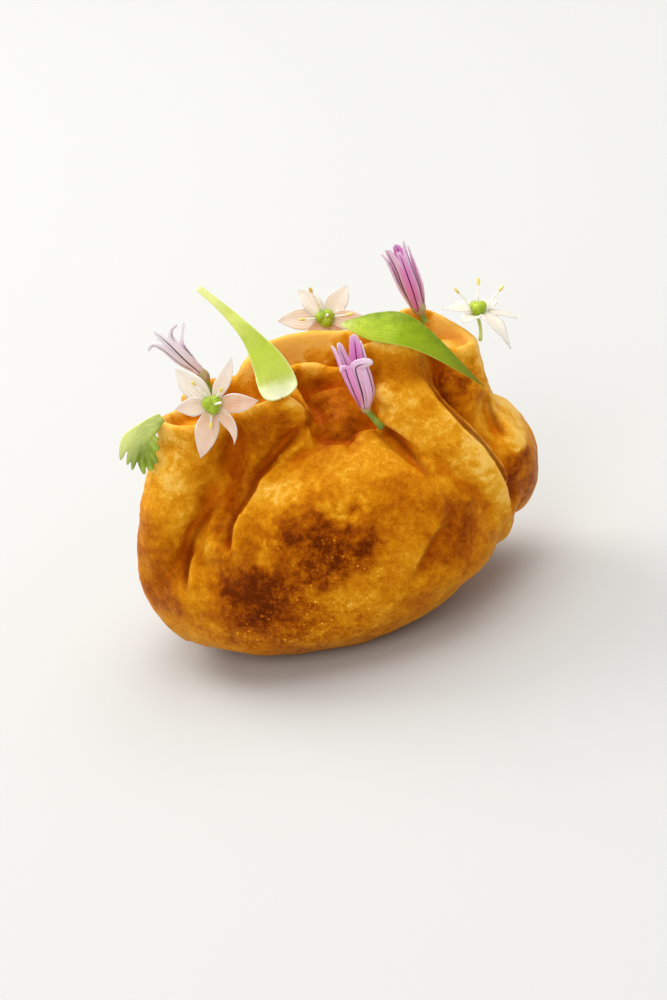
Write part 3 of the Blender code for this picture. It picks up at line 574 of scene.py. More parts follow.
def crest_wall(bm, rim_points):
    """A wavy wall that follows its rim line, with a round rim and a thick foot."""
    rim = smooth_line([Vector(point) for point in rim_points], RIM_LINE_STEPS)
    turns = [math.pi * step / RIM_ROUND_STEPS for step in range(1, RIM_ROUND_STEPS)]
    section = [(-1, 1 - row / WALL_ROWS) for row in range(WALL_ROWS)]
    section += [(-math.cos(turn), -math.sin(turn)) for turn in turns]
    section += [(1, row / WALL_ROWS) for row in range(WALL_ROWS)]
    count = len(section)
    grid = bmesh.ops.create_grid(bm, x_segments=len(rim) - 1, y_segments=count, size=0.5)
    verts = grid["verts"]
    for vert in verts:
        along = round((vert.co.x + 0.5) * (len(rim) - 1))
        place = round((vert.co.y + 0.5) * count) % count
        top = rim[along]
        ahead = rim[min(along + 1, len(rim) - 1)] - rim[max(along - 1, 0)]
        out = vec(ahead.y, -ahead.x, 0).normalized()
        side, down = section[place]
        foot = vec(top.x * FOOT_SPREAD[0], top.y * FOOT_SPREAD[1], FOOT_Z)
        if down < 0:
            centre = top + vec(0, 0, -down * RIM_THICKNESS / 2)
            half = RIM_THICKNESS / 2
        else:
            centre = top.lerp(foot, down)
            half = RIM_THICKNESS / 2 + (FOOT_THICKNESS - RIM_THICKNESS) / 2 * down**1.4
        vert.co = (centre + out * half * side) * MM
    bmesh.ops.remove_doubles(bm, verts=verts, dist=0.00001)
    bmesh.ops.holes_fill(bm, edges=[edge for edge in bm.edges if edge.is_boundary])


def dough_mesh():
    bm = bmesh.new()
    crest_wall(bm, FRONT_RIM)
    crest_wall(bm, BACK_RIM)
    purse(bm)
    for centre, radii, power in BULGES:
        egg(bm, centre, radii, power)
    for points in GATHERS:
        tube(bm, points)
    return remeshed(mesh_from("dough", bm), VOXEL, SMOOTHING_STEPS)


# ---------------------------------------------------------------- dough relief


def vectors(items, name):
    values = np.empty(len(items) * 3, np.float32)
    items.foreach_get(name, values)
    return values.reshape(-1, 3).astype(float)


def points_of(mesh):
    return vectors(mesh.vertices, "co") / MM


def normals_of(mesh):
    return vectors(mesh.vertex_normals, "vector")


def put_points(mesh, points):
    mesh.vertices.foreach_set("co", (points * MM).astype(np.float32).ravel())
    mesh.update()


def view_way(across, up):
    """From the camera towards a place in the front view."""
    return (vec(across, 0, up / math.cos(LOOK_DOWN)) - Vector(CAMERA_PLACE)).normalized()


def surface_tree(mesh):
    corners = [tuple(face.vertices) for face in mesh.polygons]
    return BVHTree.FromPolygons([tuple(point) for point in points_of(mesh)], corners)


def seen_on(tree, across, up):
    """Where the camera's ray through a front-view place meets the dough."""
    return tree.ray_cast(Vector(CAMERA_PLACE), view_way(across, up))[0]


def smoothstep(values):
    values = np.clip(values, 0, 1)
    return values * values * (3 - 2 * values)


def line_places(points, line):
    """For each point: its distance to the line, which side it is on as the camera sees it, and how far
    along the line it lies, in segments."""
    gap = np.full(len(points), np.inf)
    side = np.zeros(len(points))
    along = np.zeros(len(points))
    for number, (a, b) in enumerate(zip(line, line[1:])):
        span = b - a
        right = np.array(span.cross(a - Vector(CAMERA_PLACE)).normalized())
        off = points - np.array(a)
        span = np.array(span)
        t = np.clip((off @ span) / (span @ span), 0, 1)
        off = off - t[:, None] * span
        distance = np.linalg.norm(off, axis=1)
        near = distance < gap
        gap[near] = distance[near]
        side[near] = (off @ right)[near]
        along[near] = number + t[near]
    return gap, side, along


def line_distance(points, line):
    return line_places(points, line)[0]


def fold_line(tree, knots):
    """A fold's line on the dough, and how deep the fold is along it."""
    line = []
    depths = []
    for across, up, depth in smooth_line([Vector(knot) for knot in knots], FOLD_STEPS):
        spot = seen_on(tree, across, up)
        if spot:
            line.append(spot)
            depths.append(depth)
    return line, depths


def press_fold(points, normals, tree, widths, lips, fades, *knots):
    """Presses one fold into the dough along its line on the surface."""
    line, depths = fold_line(tree, knots)
    line = [(a + b * 2 + c) / 4 for a, b, c in zip([line[0], *line], line, [*line[1:], line[-1]])]
    low = np.min(line, axis=0) - FOLD_REACH
    high = np.max(line, axis=0) + FOLD_REACH
    near = np.where(np.all((points > low) & (points < high), axis=1))[0]
    gap, side, along = line_places(points[near], line)
    depth = np.interp(along, np.arange(len(depths)), depths)
    share = along / (len(line) - 1)
    for fade, way in zip(fades, (share, 1 - share)):
        if fade:
            depth = depth * smoothstep(way / fade)
    right = smoothstep(side / 0.4 + 0.5)
    width = widths[0] + (widths[1] - widths[0]) * right
    lip = lips[0] + (lips[1] - lips[0]) * right
    push = -depth * np.exp(-((gap / width) ** 1.5))
    push += np.sign(depth) * lip * smoothstep(np.abs(depth)) * np.exp(-(((gap - width - 0.7) / 0.8) ** 2))
    towards = points[near] - np.array(CAMERA_PLACE)
    towards /= np.linalg.norm(towards, axis=1)[:, None]
    push *= smoothstep(0.3 - 2.5 * np.sum(normals[near] * towards, axis=1))
    points[near] += normals[near] * push[:, None]


def crease_shade_lines(points, tree):
    """How close each point lies to the bottom of a narrow fold, from 0 to 1, where painted shade darkens the
    crust.
    """
    crease = np.zeros(len(points))
    for widths, _, _, *knots in FOLDS:
        if min(widths) > NARROW_FOLD or knots[len(knots) // 2][2] < 0:
            continue
        line, depths = fold_line(tree, knots)
        gap, _, along = line_places(points, line)
        depth = np.interp(along, np.arange(len(depths)), depths)
        share = along / (len(line) - 1)
        fade = smoothstep(share / 0.15) * smoothstep((1 - share) / 0.2)
        crease = np.maximum(crease, np.exp(-((gap / CREASE_REACH) ** 2)) * np.clip(depth * 0.6, 0, 1) * fade)
    return crease


def waves(points, size, seed):
    """Soft random waves of about this size in millimetres, from -1 to 1."""
    draw = np.random.default_rng(seed)
    total = np.zeros(len(points))
    for _ in range(WAVES):
        way = draw.normal(size=3)
        way /= np.linalg.norm(way)
        pace = 2 * math.pi / (size * draw.uniform(0.7, 1.4))
        total += np.sin(points @ way * pace + draw.uniform(0, 6.28))
    return total / WAVES**0.5


def softened(values, start, end, steps):
    """Values spread over the surface by averaging the two ends of each edge."""
    count = np.bincount(start, minlength=len(values)) + np.bincount(end, minlength=len(values))
    for _ in range(steps):
        total = np.bincount(start, values[end], len(values)) + np.bincount(end, values[start], len(values))
        values = 0.5 * values + 0.5 * total / np.maximum(count, 1)
    return values


def hollowness(mesh, steps):
    """How far each place lies in a hollow (over 0) or stands on a ridge (under 0), in millimetres."""
    points = points_of(mesh)
    ends = np.empty(len(mesh.edges) * 2, np.int32)
    mesh.edges.foreach_get("vertices", ends)
    soft = [softened(points[:, axis], ends[::2], ends[1::2], steps) for axis in range(3)]
    return np.sum((np.stack(soft, axis=1) - points) * normals_of(mesh), axis=1)


def set_attribute(mesh, name, values, low=0.0, high=1.0):
    layer = mesh.attributes.new(name, "FLOAT", "POINT")
    layer.data.foreach_set("value", np.clip(values, low, high).astype(np.float32))


def blister_share(points):
    """How thick the blisters stand: most on the belly's lower left, few elsewhere."""
    belly = np.exp(-(((points[:, 0] + 9) / 10) ** 2) - ((points[:, 2] - 9) / 8) ** 2)
    top = 0.7 * np.exp(-(((points[:, 0] + 3) / 8) ** 2) - ((points[:, 2] - 20) / 5) ** 2)
    clumps = np.clip(0.65 + 0.8 * waves(points, 4.0, 31), 0, 1)
    return 0.08 + (belly + top) * (points[:, 1] < 0) * clumps


def blisters(points, normals, seed=11):
    """Small domes of risen dough, closest together on the belly: their height and a 0 to 1 mask."""
    draw = np.random.default_rng(seed)
    tree = KDTree(len(points))
    for number, point in enumerate(points):
        tree.insert(point, number)
    tree.balance()
    height = np.zeros(len(points))
    mask = np.zeros(len(points))
    weight = blister_share(points) * (normals[:, 2] > -0.6)
    chosen = draw.choice(len(points), BLISTERS, replace=False, p=weight / weight.sum())
    for number in chosen:
        radius = draw.uniform(*BLISTER_RADII)
        lift = draw.uniform(0.25, 0.4) * radius
        for _, index, distance in tree.find_range(points[number], radius * 1.6):
            dome = math.exp(-((distance / (0.62 * radius)) ** 2))
            height[index] = max(height[index], lift * dome)
            mask[index] = max(mask[index], dome)
    return height, mask


def flat_base(mesh):
    """Cuts off what lies below the table and closes the cut."""
    bm = bmesh.new()
    bm.from_mesh(mesh)
    everything = bm.verts[:] + bm.edges[:] + bm.faces[:]
    cut = bmesh.ops.bisect_plane(bm, geom=everything, plane_no=(0, 0, 1), clear_inner=True)
    rim = [part for part in cut["geom_cut"] if isinstance(part, bmesh.types.BMEdge)]
    bmesh.ops.contextual_create(bm, geom=rim)
    bmesh.ops.triangulate(bm, faces=bm.faces[:])
    return bm


def set_toast_light_and_shade(mesh, tree, points):
    """How browned each place is, over or under the common bake of the dough, with the painted shade and
    painted light of some patches.
    """
    toast_light_and_shade = np.zeros(len(points))
    wander = [waves(points, 4.0, seed) + 0.5 * waves(points, 1.6, seed + 1) for seed in (21, 23, 25)]
    wandered = points + np.stack(wander, axis=1) * PATCH_WANDER
    for across, up, reach, amount in TOAST_LIGHT_AND_SHADE_PATCHES:
        spot = seen_on(tree, across, up)
        toast_light_and_shade += amount * np.exp(-((np.linalg.norm(wandered - np.array(spot), axis=1) / reach) ** 2))
    toast_light_and_shade += BACK_TOAST * waves(points, 11.0, 41) * smoothstep((points[:, 1] - 1) / 6)
    set_attribute(mesh, "toast_light_and_shade", toast_light_and_shade, -1, 1)


def set_rim_paleness_and_glow(mesh, points):
    """Where the dough's thin edge is, painted paler: partly paler dough and partly painted glow of light
    shining through the thin edge; paler in some places than in others.
    """
    rims = [smooth_line([Vector(point) for point in rim], 6) for rim in (FRONT_RIM, BACK_RIM)]
    gap = np.minimum(*(line_distance(points, line) for line in rims))
    tone = np.clip(0.65 + 0.5 * waves(points, 5.0, 51), 0, 1)
    set_attribute(mesh, "rim", tone * np.exp(-((gap / RIM_REACH) ** 2)))


def pastry(material):
    mesh = dough_mesh()
    tree = surface_tree(mesh)
    points = points_of(mesh)
    normals = normals_of(mesh)
    for fold in FOLDS:
        press_fold(points, normals, tree, *fold)
    put_points(mesh, points)
    mesh = remeshed(mesh, FINE_VOXEL, FINE_SMOOTHING_STEPS)
    set_attribute(mesh, "hollow", hollowness(mesh, HOLLOW_STEPS), -2, 2)
    points = points_of(mesh)
    normals = normals_of(mesh)
    rise, blister = blisters(points, normals)
    for height, size, seed in RELIEF:
        rise = rise + height * waves(points, size, seed)
    put_points(mesh, points + normals * rise[:, None])
    tree = surface_tree(mesh)
    set_toast_light_and_shade(mesh, tree, points)
    set_rim_paleness_and_glow(mesh, points)
    set_attribute(mesh, "crease", crease_shade_lines(points, tree))
    set_attribute(mesh, "blister", blister)
    set_attribute(mesh, "dots", blister_share(points))
    mesh = with_modifiers(mesh, ("DECIMATE", {"ratio": FACES_KEPT}))
    bm = flat_base(mesh)
    bpy.data.meshes.remove(mesh)
    for vert in bm.verts:
        for axis, (low, high) in enumerate(zip(*CAD_BOX)):
            vert.co[axis] = min(max(vert.co[axis], low), high)
    piece("baked_pastry", bm, material, ["pastry"])


# ---------------------------------------------------------------- petals and leaves


def tagged_bmesh():
    """A mesh whose points also hold where they lie on their petal or leaf."""
    bm = bmesh.new()
    for name in TAGS:
        bm.verts.layers.float.new(name)
    return bm


def even_line(knots, count):
    """Points at even steps of a Catmull-Rom line through the knots."""
    fine = smooth_line([Vector(knot) for knot in knots], 12)
    line = []
    for step in range(count + 1):
        place = step * (len(fine) - 1) / count
        before = int(place)
        line.append(fine[before].lerp(fine[min(before + 1, len(fine) - 1)], place - before))
    return line


def blade(bm, line, facing, bend, thickness, columns=10, tone=0.0):
    """A petal or leaf: line holds (x, y, z, width) along its middle, and bend(along, side) says how far
    each place stands out of the flat, in widths."""
    rows = len(line) - 1
    layers = [bm.verts.layers.float[name] for name in TAGS]
    verts = bmesh.ops.create_grid(bm, x_segments=rows, y_segments=columns, size=0.5)["verts"]
    for vert in verts:
        row = round((vert.co.x + 0.5) * rows)
        side = vert.co.y * 2
        middle = line[row]
        ahead = (line[min(row + 1, rows)] - line[max(row - 1, 0)]).to_3d()
        look = facing[0].lerp(facing[1], row / rows)
        way = look.cross(ahead).normalized()
        out = ahead.cross(way).normalized()
        shift = way * side / 2 + out * bend(row / rows, side)
        vert.co = (middle.to_3d() + shift * middle.w) * MM
        for layer, value in zip(layers, (row / rows, side, tone)):
            vert[layer] = value
    bm.normal_update()
    faces = {face for vert in verts for face in vert.link_faces}
    bmesh.ops.solidify(bm, geom=list(faces), thickness=thickness * MM)


def bead(bm, centre, radii, axis, subdivisions=3):
    """An egg with its long way along an axis."""
    made = bmesh.ops.create_icosphere(bm, subdivisions=subdivisions, radius=1.0)
    turn = Vector(axis).to_track_quat("Z", "Y").to_matrix()
    for vert in made["verts"]:
        vert.co = (Vector(centre) + turn @ vec(*(a * b for a, b in zip(vert.co, radii)))) * MM


def stick(bm, knots, sides=12, rows=20):
    """A round tapering stalk through (x, y, z, radius) knots, with rounded ends."""
    line = even_line(knots, rows)
    verts = bmesh.ops.create_grid(bm, x_segments=rows, y_segments=sides, size=0.5)["verts"]
    for vert in verts:
        row = round((vert.co.x + 0.5) * rows)
        turn = 2 * math.pi * (vert.co.y + 0.5)
        middle = line[row]
        ahead = (line[min(row + 1, rows)] - line[max(row - 1, 0)]).to_3d()
        radius = middle.w * (0.55 if row in (0, rows) else 1.0)
        ring = vec(math.cos(turn), math.sin(turn), 0) * radius
        vert.co = (middle.to_3d() + ahead.to_track_quat("Z", "Y").to_matrix() @ ring) * MM
    bmesh.ops.remove_doubles(bm, verts=verts, dist=0.000001)
    bmesh.ops.holes_fill(bm, edges=[edge for edge in bm.edges if edge.is_boundary])


def closed_piece(name, bm, material, replaced=()):
    bmesh.ops.recalc_face_normals(bm, faces=bm.faces[:])
    piece(name, bm, material, replaced)


def petal_bend(fold, curl, ripple, seed):
    """How a petal stands out of the flat: folded along its middle, its edges curled, and lightly rippled."""

    def bend(along, side):
        wave = math.sin(6.3 * along * 1.6 + seed) * side * abs(side)
        return fold * abs(side) ** 1.4 + curl * side**4 + ripple * wave

    return bend


def flower_axes(facing):
    out = Vector(facing).normalized()
    right = (vec(1, 0, 0) - out * out.x).normalized()
    return out, right, out.cross(right)


def star_flower(name, middle, facing, petals, materials):
    """Veined petals round a lobed green ovary."""
    centre = Vector(middle)
    out, right, up = flower_axes(facing)
    bm = tagged_bmesh()
    for index, (angle, length, rise, width, hook, crust_show_through) in enumerate(petals):
        turn = math.radians(angle)
        away = right * math.cos(turn) + up * math.sin(turn)
        aside = out.cross(away)
        whorl = out * STAR_WHORL_STEP * (1 if index % 2 else -1)
        line = []
        for step, share in enumerate(even_line([(value, 0) for value in STAR_OUTLINE], PETAL_ROWS)):
            t = step / PETAL_ROWS
            spot = centre + whorl + away * (PETAL_ROOT + (length - PETAL_ROOT) * t)
            spot += out * (rise * t**2 + 0.25 * math.sin(math.pi * t)) + aside * hook * t**5
            line.append(vec(*spot, max(share.x, 0.03) * width))
        bend = petal_bend(0.16, -0.04, 0.05, index * 1.7)
        blade(bm, line, (out, out), bend, PETAL_THICKNESS, tone=crust_show_through)
    closed_piece(name + "_petals", bm, materials["white"], [name])

    bm = bmesh.new()
    for lobe in range(OVARY_LOBES):
        turn = 2 * math.pi * (lobe + 0.25) / OVARY_LOBES
        way = right * math.cos(turn) + up * math.sin(turn)
        bead(bm, centre + out * 0.72 + way * 0.46, (1.0, 1.0, 1.1), out + way * 0.3, 4)
    bead(bm, centre + out * 0.1, (0.8, 0.8, 0.7), out)
    closed_piece(name + "_ovary", bm, materials["ovary"])


def stamens(name, middle, facing, tips, style, materials):
    """White filaments with yellow anthers, and the white style of the ovary."""
    centre = Vector(middle)
    out = flower_axes(facing)[0]
    threads = bmesh.new()
    anthers = bmesh.new()
    for tip in tips:
        end = Vector(tip)
        away = end - centre
        flat = (away - out * away.dot(out)).normalized()
        root = centre + flat * 1.0 + out * 0.1
        knee = root.lerp(end, 0.5) + out * 0.35 - flat * 0.1
        stick(threads, (vec(*root, 0.24), vec(*knee, 0.15), vec(*end, 0.08)), 8, 10)
        bead(anthers, end, (0.27, 0.22, 0.62), away + out * 0.4)
    root = centre + out * 1.1
    end = Vector(style)
    stick(threads, (vec(*root, 0.2), vec(*root.lerp(end, 0.6), 0.16), vec(*end, 0.2)), 8, 8)
    closed_piece(name + "_stamens", threads, materials["thread"])
    closed_piece(name + "_anthers", anthers, materials["anther"])


def stalk_piece(name, knots, material):
    bm = bmesh.new()
    stick(bm, knots)
    closed_piece(name + "_stalk", bm, material)


def rounded_tip(line):
    """The line with its last widths brought in along a round end."""
    last = len(line) - 1
    for row, point in enumerate(line):
        over = max(0.0, row / last - (1 - ROUND_TIP)) / ROUND_TIP
        point.w *= math.sqrt(max(0.004, 1 - over**2))
    return line


def floret(name, foot, foot_radii, petals, material, foot_material):
    """A narrow bell of petals, each along its own line."""
    bm = tagged_bmesh()
    base = Vector(foot)
    tips = [Vector(knots[-1][:3]) for knots in petals]
    axis = (sum(tips, vec(0, 0, 0)) / len(tips) - base).normalized()
    for index, (tone, *knots) in enumerate(petals):
        line = rounded_tip(even_line(knots, PETAL_ROWS))
        body = line[len(line) // 2].to_3d()
        away = (body - base) - axis * (body - base).dot(axis)
        look = away.normalized() if away.length > 0.3 else vec(0, -1, 0)
        bend = petal_bend(-0.22, 0.03, 0.03, index * 2.1)
        blade(bm, line, (look, look), bend, PETAL_THICKNESS, tone=tone)
    closed_piece(name + "_petals", bm, material, [name])
    bm = bmesh.new()
    bead(bm, base + axis * foot_radii[2] * 0.5, foot_radii, axis)
    closed_piece(name + "_foot", bm, foot_material)


def leaf(name, knots, facing, bend, material):
    bm = tagged_bmesh()
    facing = [Vector(way) for way in facing]
    blade(bm, rounded_tip(even_line(knots, LEAF_ROWS)), facing, bend, LEAF_THICKNESS, LEAF_COLUMNS)
    closed_piece(name + "_blade", bm, material, [name])


def cress_bend(along, side):
    cup = 0.55 * max(0.0, along - 0.55) ** 1.2 - 0.05
    return cup * side**2 + 0.02 * math.sin(9 * along) * side


def long_bend(along, side):
    return -0.13 * side**2 + 0.05 * side * (1 - along) + 0.02 * math.sin(11 * along + 2 * side)


def finger_bend(along, side):
    return 0.10 * abs(side) ** 1.3


def herb_leaf(material):
    """A lobed herb leaf: fingers that grow together round the end of the stalk."""
    out, right, up = flower_axes(HERB_FACING)
    hub = Vector(HERB_HUB)
    bm = tagged_bmesh()
    veins = []
    for knots in HERB_FINGERS:
        line = []
        for across, above, width in knots:
            drop = HERB_ARCH * (across**2 + above**2)
            line.append(vec(*(hub + right * across + up * above - out * drop), width))
        veins.append([point.to_3d() for point in even_line(line, 12)])
        blade(bm, rounded_tip(even_line(line, 30)), (out, out), finger_bend, HERB_THICKNESS)
    mesh = remeshed(mesh_from("herb", bm), HERB_VOXEL, HERB_SMOOTHING_STEPS)
    points = points_of(mesh)
    gap = np.min([line_distance(points, line) for line in veins], axis=0)
    set_attribute(mesh, "vein", np.exp(-((gap / HERB_VEIN) ** 2)))
    # Painted sheen: paler towards the upper left of the leaf
    along_leaf = (points - np.array(hub)) @ np.array(up - right * 0.8)
    set_attribute(mesh, "painted_sheen", 0.50 + along_leaf * 0.20)
    bm = bmesh.new()
    bm.from_mesh(mesh)
    bpy.data.meshes.remove(mesh)
    piece("coriander_blade", bm, material, ["coriander_leaf"])


# ---------------------------------------------------------------- materials


class Finish:
    """A material and the nodes added to it. Inputs are values or other nodes' outputs."""

    def __init__(self, name):
        self.material = bpy.data.materials.new(name)
        self.material.use_nodes = True
        self.tree = self.material.node_tree
        self.shader = self.tree.nodes["Principled BSDF"]
        self.surface = self.tree.nodes["Material Output"].inputs["Surface"]

    def put(self, socket, value):
        if isinstance(value, bpy.types.NodeSocket):
            self.tree.links.new(value, socket)
        else:
            socket.default_value = (*value, 1.0) if socket.type == "RGBA" else value

    def add(self, kind, inputs, **settings):
        node = self.tree.nodes.new(kind)
        for name, value in settings.items():
            setattr(node, name, value)
        for name, value in inputs.items():
            self.put(node.inputs[name], value)
        return node.outputs

    def set(self, **values):
        """Sets the shader's sockets; an underscore stands for a space in a name."""
        for name, value in values.items():
            self.put(self.shader.inputs[name.replace("_", " ")], value)

    def math(self, operation, a, b=0.0, clamp=False):
        return self.add("ShaderNodeMath", {0: a, 1: b}, operation=operation, use_clamp=clamp)[0]

    def times(self, a, b, clamp=False):
        return self.math("MULTIPLY", a, b, clamp)

    def plus(self, a, b, clamp=False):
        return self.math("ADD", a, b, clamp)

    def minus(self, a, b, clamp=False):
        return self.math("SUBTRACT", a, b, clamp)

    def ramp(self, factor, *stops):
        """Colours along a factor, from (place, colour) stops."""
        node = self.tree.nodes.new("ShaderNodeValToRGB")
        self.put(node.inputs[0], factor)
        elements = node.color_ramp.elements
        while len(elements) < len(stops):
            elements.new(0.5)
        for element, (place, colour) in zip(elements, stops):
            element.position = place
            element.color = (*colour, 1.0)
        return node.outputs[0]

    def rising(self, factor, low, high):
        return self.ramp(factor, (low, (0, 0, 0)), (high, (1, 1, 1)))

    def mix(self, factor, a, b):
        return self.add("ShaderNodeMix", {0: factor, 6: a, 7: b}, data_type="RGBA")[2]

    def object_place(self):
        return self.add("ShaderNodeTexCoord", {})["Object"]

    def attribute(self, name):
        return self.add("ShaderNodeAttribute", {}, attribute_name=name)["Fac"]

    def noise(self, scale, detail=3.0, roughness=0.5, distortion=0.0):
        """Noise over the object, its scale in waves per millimetre."""
        inputs = {"Scale": scale / MM, "Detail": detail, "Roughness": roughness, "Distortion": distortion}
        return self.add("ShaderNodeTexNoise", {"Vector": self.object_place(), **inputs})[0]

    def bump(self, height, strength, depth):
        """Fine relief, its depth in millimetres."""
        inputs = {"Strength": strength, "Distance": depth * MM, "Height": height}
        self.set(Normal=self.add("ShaderNodeBump", inputs)[0])

    def band(self, value, middle, width, gain=1.0):
        """1 where the value is at the middle, falling to 0 at this distance; a gain makes the top flat."""
        off = self.math("ABSOLUTE", self.minus(value, middle))
        near = self.minus(1.0, self.math("DIVIDE", off, width), clamp=True)
        return self.times(near, gain, clamp=True)

    def veins(self, across, count, sharpness):
        """Lines side by side, 1 in the middle of each."""
        wave = self.math("COSINE", self.times(across, math.pi * count / 2))
        return self.math("POWER", self.math("ABSOLUTE", wave), sharpness)

    def thin(self, colour, share):
        """The material of a thin petal or leaf that lets this share of the light through."""
        self.set(Base_Color=colour, Specular_IOR_Level=0.2)
        through = self.add("ShaderNodeBsdfTranslucent", {"Color": colour})[0]
        blend = self.add("ShaderNodeMixShader", {0: share, 1: self.shader.outputs[0], 2: through})
        self.put(self.surface, blend[0])
        return self.material


def crust_material():
    made = Finish("baked_crust")
    broad = made.noise(0.11, 3.0, 0.6)
    middle = made.noise(0.42, 5.0, 0.66, 0.2)
    fine = made.noise(1.2, 6.0, 0.74)
    grain = made.noise(5.5, 2.0, 0.6)
    toast_light_and_shade = made.attribute("toast_light_and_shade")
    hollow = made.attribute("hollow")
    dotted = made.attribute("dots")
    # Pale, floury scraps with ragged edges where the dough is lightly baked
    lightly = made.plus(made.times(toast_light_and_shade, -2.6), 0.25, clamp=True)
    flour = made.times(made.rising(made.noise(0.75, 7.0, 0.75, 0.8), 0.50, 0.60), lightly)
    # Pin-sized pale bubbles, each of its own size
    cells = made.add("ShaderNodeTexVoronoi", {"Vector": made.object_place(), "Scale": 1.25 / MM})
    luck = made.add("ShaderNodeSeparateColor", {0: cells["Color"]})[0]
    size = made.plus(made.times(made.math("POWER", luck, 2.0), 0.30), 0.06)
    dots = made.times(made.minus(size, cells["Distance"]), 9.0, clamp=True)
    dots = made.times(dots, made.times(dotted, 1.6, clamp=True))
    # The belly is the most speckled; the folds are smoother
    speckled = made.plus(made.times(dotted, 1.3, clamp=True), 0.55)
    speckles = made.times(made.minus(fine, 0.5), speckled)
    parts = (
        (broad, 0.45, 0.5),
        (middle, 0.54, 0.5),
        (speckles, 0.80, 0.0),
        (grain, 0.30, 0.5),
        # Browning, plus the painted shade and painted light of some patches
        (toast_light_and_shade, 1.0, 0.0),
        # Painted shade: hollows drawn browner
        (hollow, 0.30, 0.0),
        # The thin edge drawn paler: partly paler dough, partly painted glow of light through it
        (made.attribute("rim"), -0.34, 0.0),
        (made.attribute("blister"), -0.16, 0.0),
        (flour, -0.24, 0.0),
        (dots, -0.36, 0.0),
    )
    bake = COMMON_BAKE
    for value, share, middle_value in parts:
        bake = made.plus(bake, made.times(made.minus(value, middle_value), share))
    # Even the palest dough stays a little uneven
    bake = made.math("MINIMUM", made.math("MAXIMUM", bake, made.times(fine, 0.22)), 1.0)
    # Painted glow of light through the thin dough: the bottoms of hollows drawn redder
    deep = made.times(made.math("MAXIMUM", hollow, 0.0), 1.0, clamp=True)
    colour = made.mix(deep, made.ramp(bake, *CRUST_STOPS), HOLLOW_PAINTED_GLOW)
    # Painted shade: dark lines at the bottoms of narrow folds
    crease = made.times(made.attribute("crease"), 0.85, clamp=True)
    made.set(Base_Color=made.mix(crease, colour, CREASE_SHADE))
    made.set(Roughness=made.plus(made.times(fine, 0.3), 0.36))
    made.set(Subsurface_Weight=0.22, Subsurface_Radius=(1.0, 0.28, 0.03), Subsurface_Scale=0.0018)
    made.set(Specular_IOR_Level=0.08, Specular_Tint=(1.0, 0.68, 0.22))
    height = made.times(fine, 0.6)
    for value, share in ((middle, 0.4), (grain, 0.35), (dots, 0.25)):
        height = made.plus(height, made.times(value, share))
    made.bump(height, 0.45, 0.3)
    return made.material


def white_petal_material():
    """Thin petals: white against the light, with the crust's colour painted through them where they lie over
    the crust, and whiter rims.
    """
    made = Finish("white_petal")
    along, across, tone = [made.attribute(name) for name in TAGS]
    lines = made.veins(across, 7, 6.0)
    colour = made.mix(tone, made.ramp(along, *WHITE_STOPS), made.ramp(along, *CRUST_SHOW_THROUGH_STOPS))
    colour = made.mix(made.times(lines, 0.30), colour, (0.86, 0.66, 0.54))
    speck = made.rising(made.noise(0.8, 4.0), 0.40, 0.62)
    colour = made.mix(made.times(speck, 0.30), colour, (0.99, 0.96, 0.93))
    rim = made.band(made.math("ABSOLUTE", across), 1.0, 0.16, 1.6)
    colour = made.mix(rim, colour, (0.99, 0.98, 0.96))
    made.set(Roughness=0.4)
    made.bump(lines, 0.5, 0.1)
    return made.thin(colour, PETAL_GLOW)


def lilac_material():
    """Pale to vivid petals with lighter edges, faint veins and a dark middle rib on the vivid ones."""
    made = Finish("lilac_petal")
    along, across, tone = [made.attribute(name) for name in TAGS]
    colour = made.mix(tone, made.ramp(along, *PALE_STOPS), made.ramp(along, *VIVID_STOPS))
    edge = made.math("POWER", made.math("ABSOLUTE", across), 4.0)
    colour = made.mix(made.times(edge, 0.35), colour, (0.99, 0.93, 0.98))
    fine = made.veins(across, 9, 3.0)
    colour = made.mix(made.times(fine, 0.10), colour, (0.80, 0.40, 0.70))
    mottle = made.times(made.times(made.noise(1.1, 3.0), 0.3), tone)
    colour = made.mix(mottle, colour, (0.88, 0.50, 0.80))
    rib = made.times(made.band(across, 0.0, 0.13), made.times(tone, 12.0, clamp=True))
    rib = made.times(made.times(rib, 2.6, clamp=True), made.band(along, 0.42, 0.5, 3.0))
    colour = made.mix(rib, colour, (0.06, 0.006, 0.02))
    made.set(Roughness=0.4)
    made.bump(fine, 0.4, 0.1)
    return made.thin(colour, LILAC_GLOW)


def leaf_material(name, stops, blotches, rim, dark, veins, vein_share, dark_share, roughness, glow):
    """A leaf: its green along its length, uneven, with faint veins side by side, a light rim, and painted
    shade along one side.
    """
    made = Finish(name)
    along, across = made.attribute("along"), made.attribute("across")
    blotch = made.rising(made.noise(0.28, 5.0, 0.6), 0.42, 0.66)
    blotch = made.times(blotch, made.band(along, 0.48, 0.42, 2.0))
    colour = made.mix(made.times(blotch, 0.5), made.ramp(along, *stops), blotches)
    lines = made.veins(across, veins, 5.0)
    colour = made.mix(made.times(lines, vein_share), colour, rim)
    colour = made.mix(made.band(made.math("ABSOLUTE", across), 1.0, 0.09, 1.4), colour, rim)
    # One side of the leaf darker, as where it turns edge-on to the light (painted shade), broken up by noise
    shade = made.plus(made.times(across, 0.30), made.times(made.noise(0.9, 6.0, 0.7), 0.9))
    shade = made.minus(shade, 0.30, clamp=True)
    colour = made.mix(made.times(shade, dark_share), colour, dark)
    made.set(Roughness=roughness)
    made.bump(made.plus(made.times(lines, 0.4), made.noise(1.6, 3.0)), 0.3, 0.2)
    return made.thin(colour, glow)


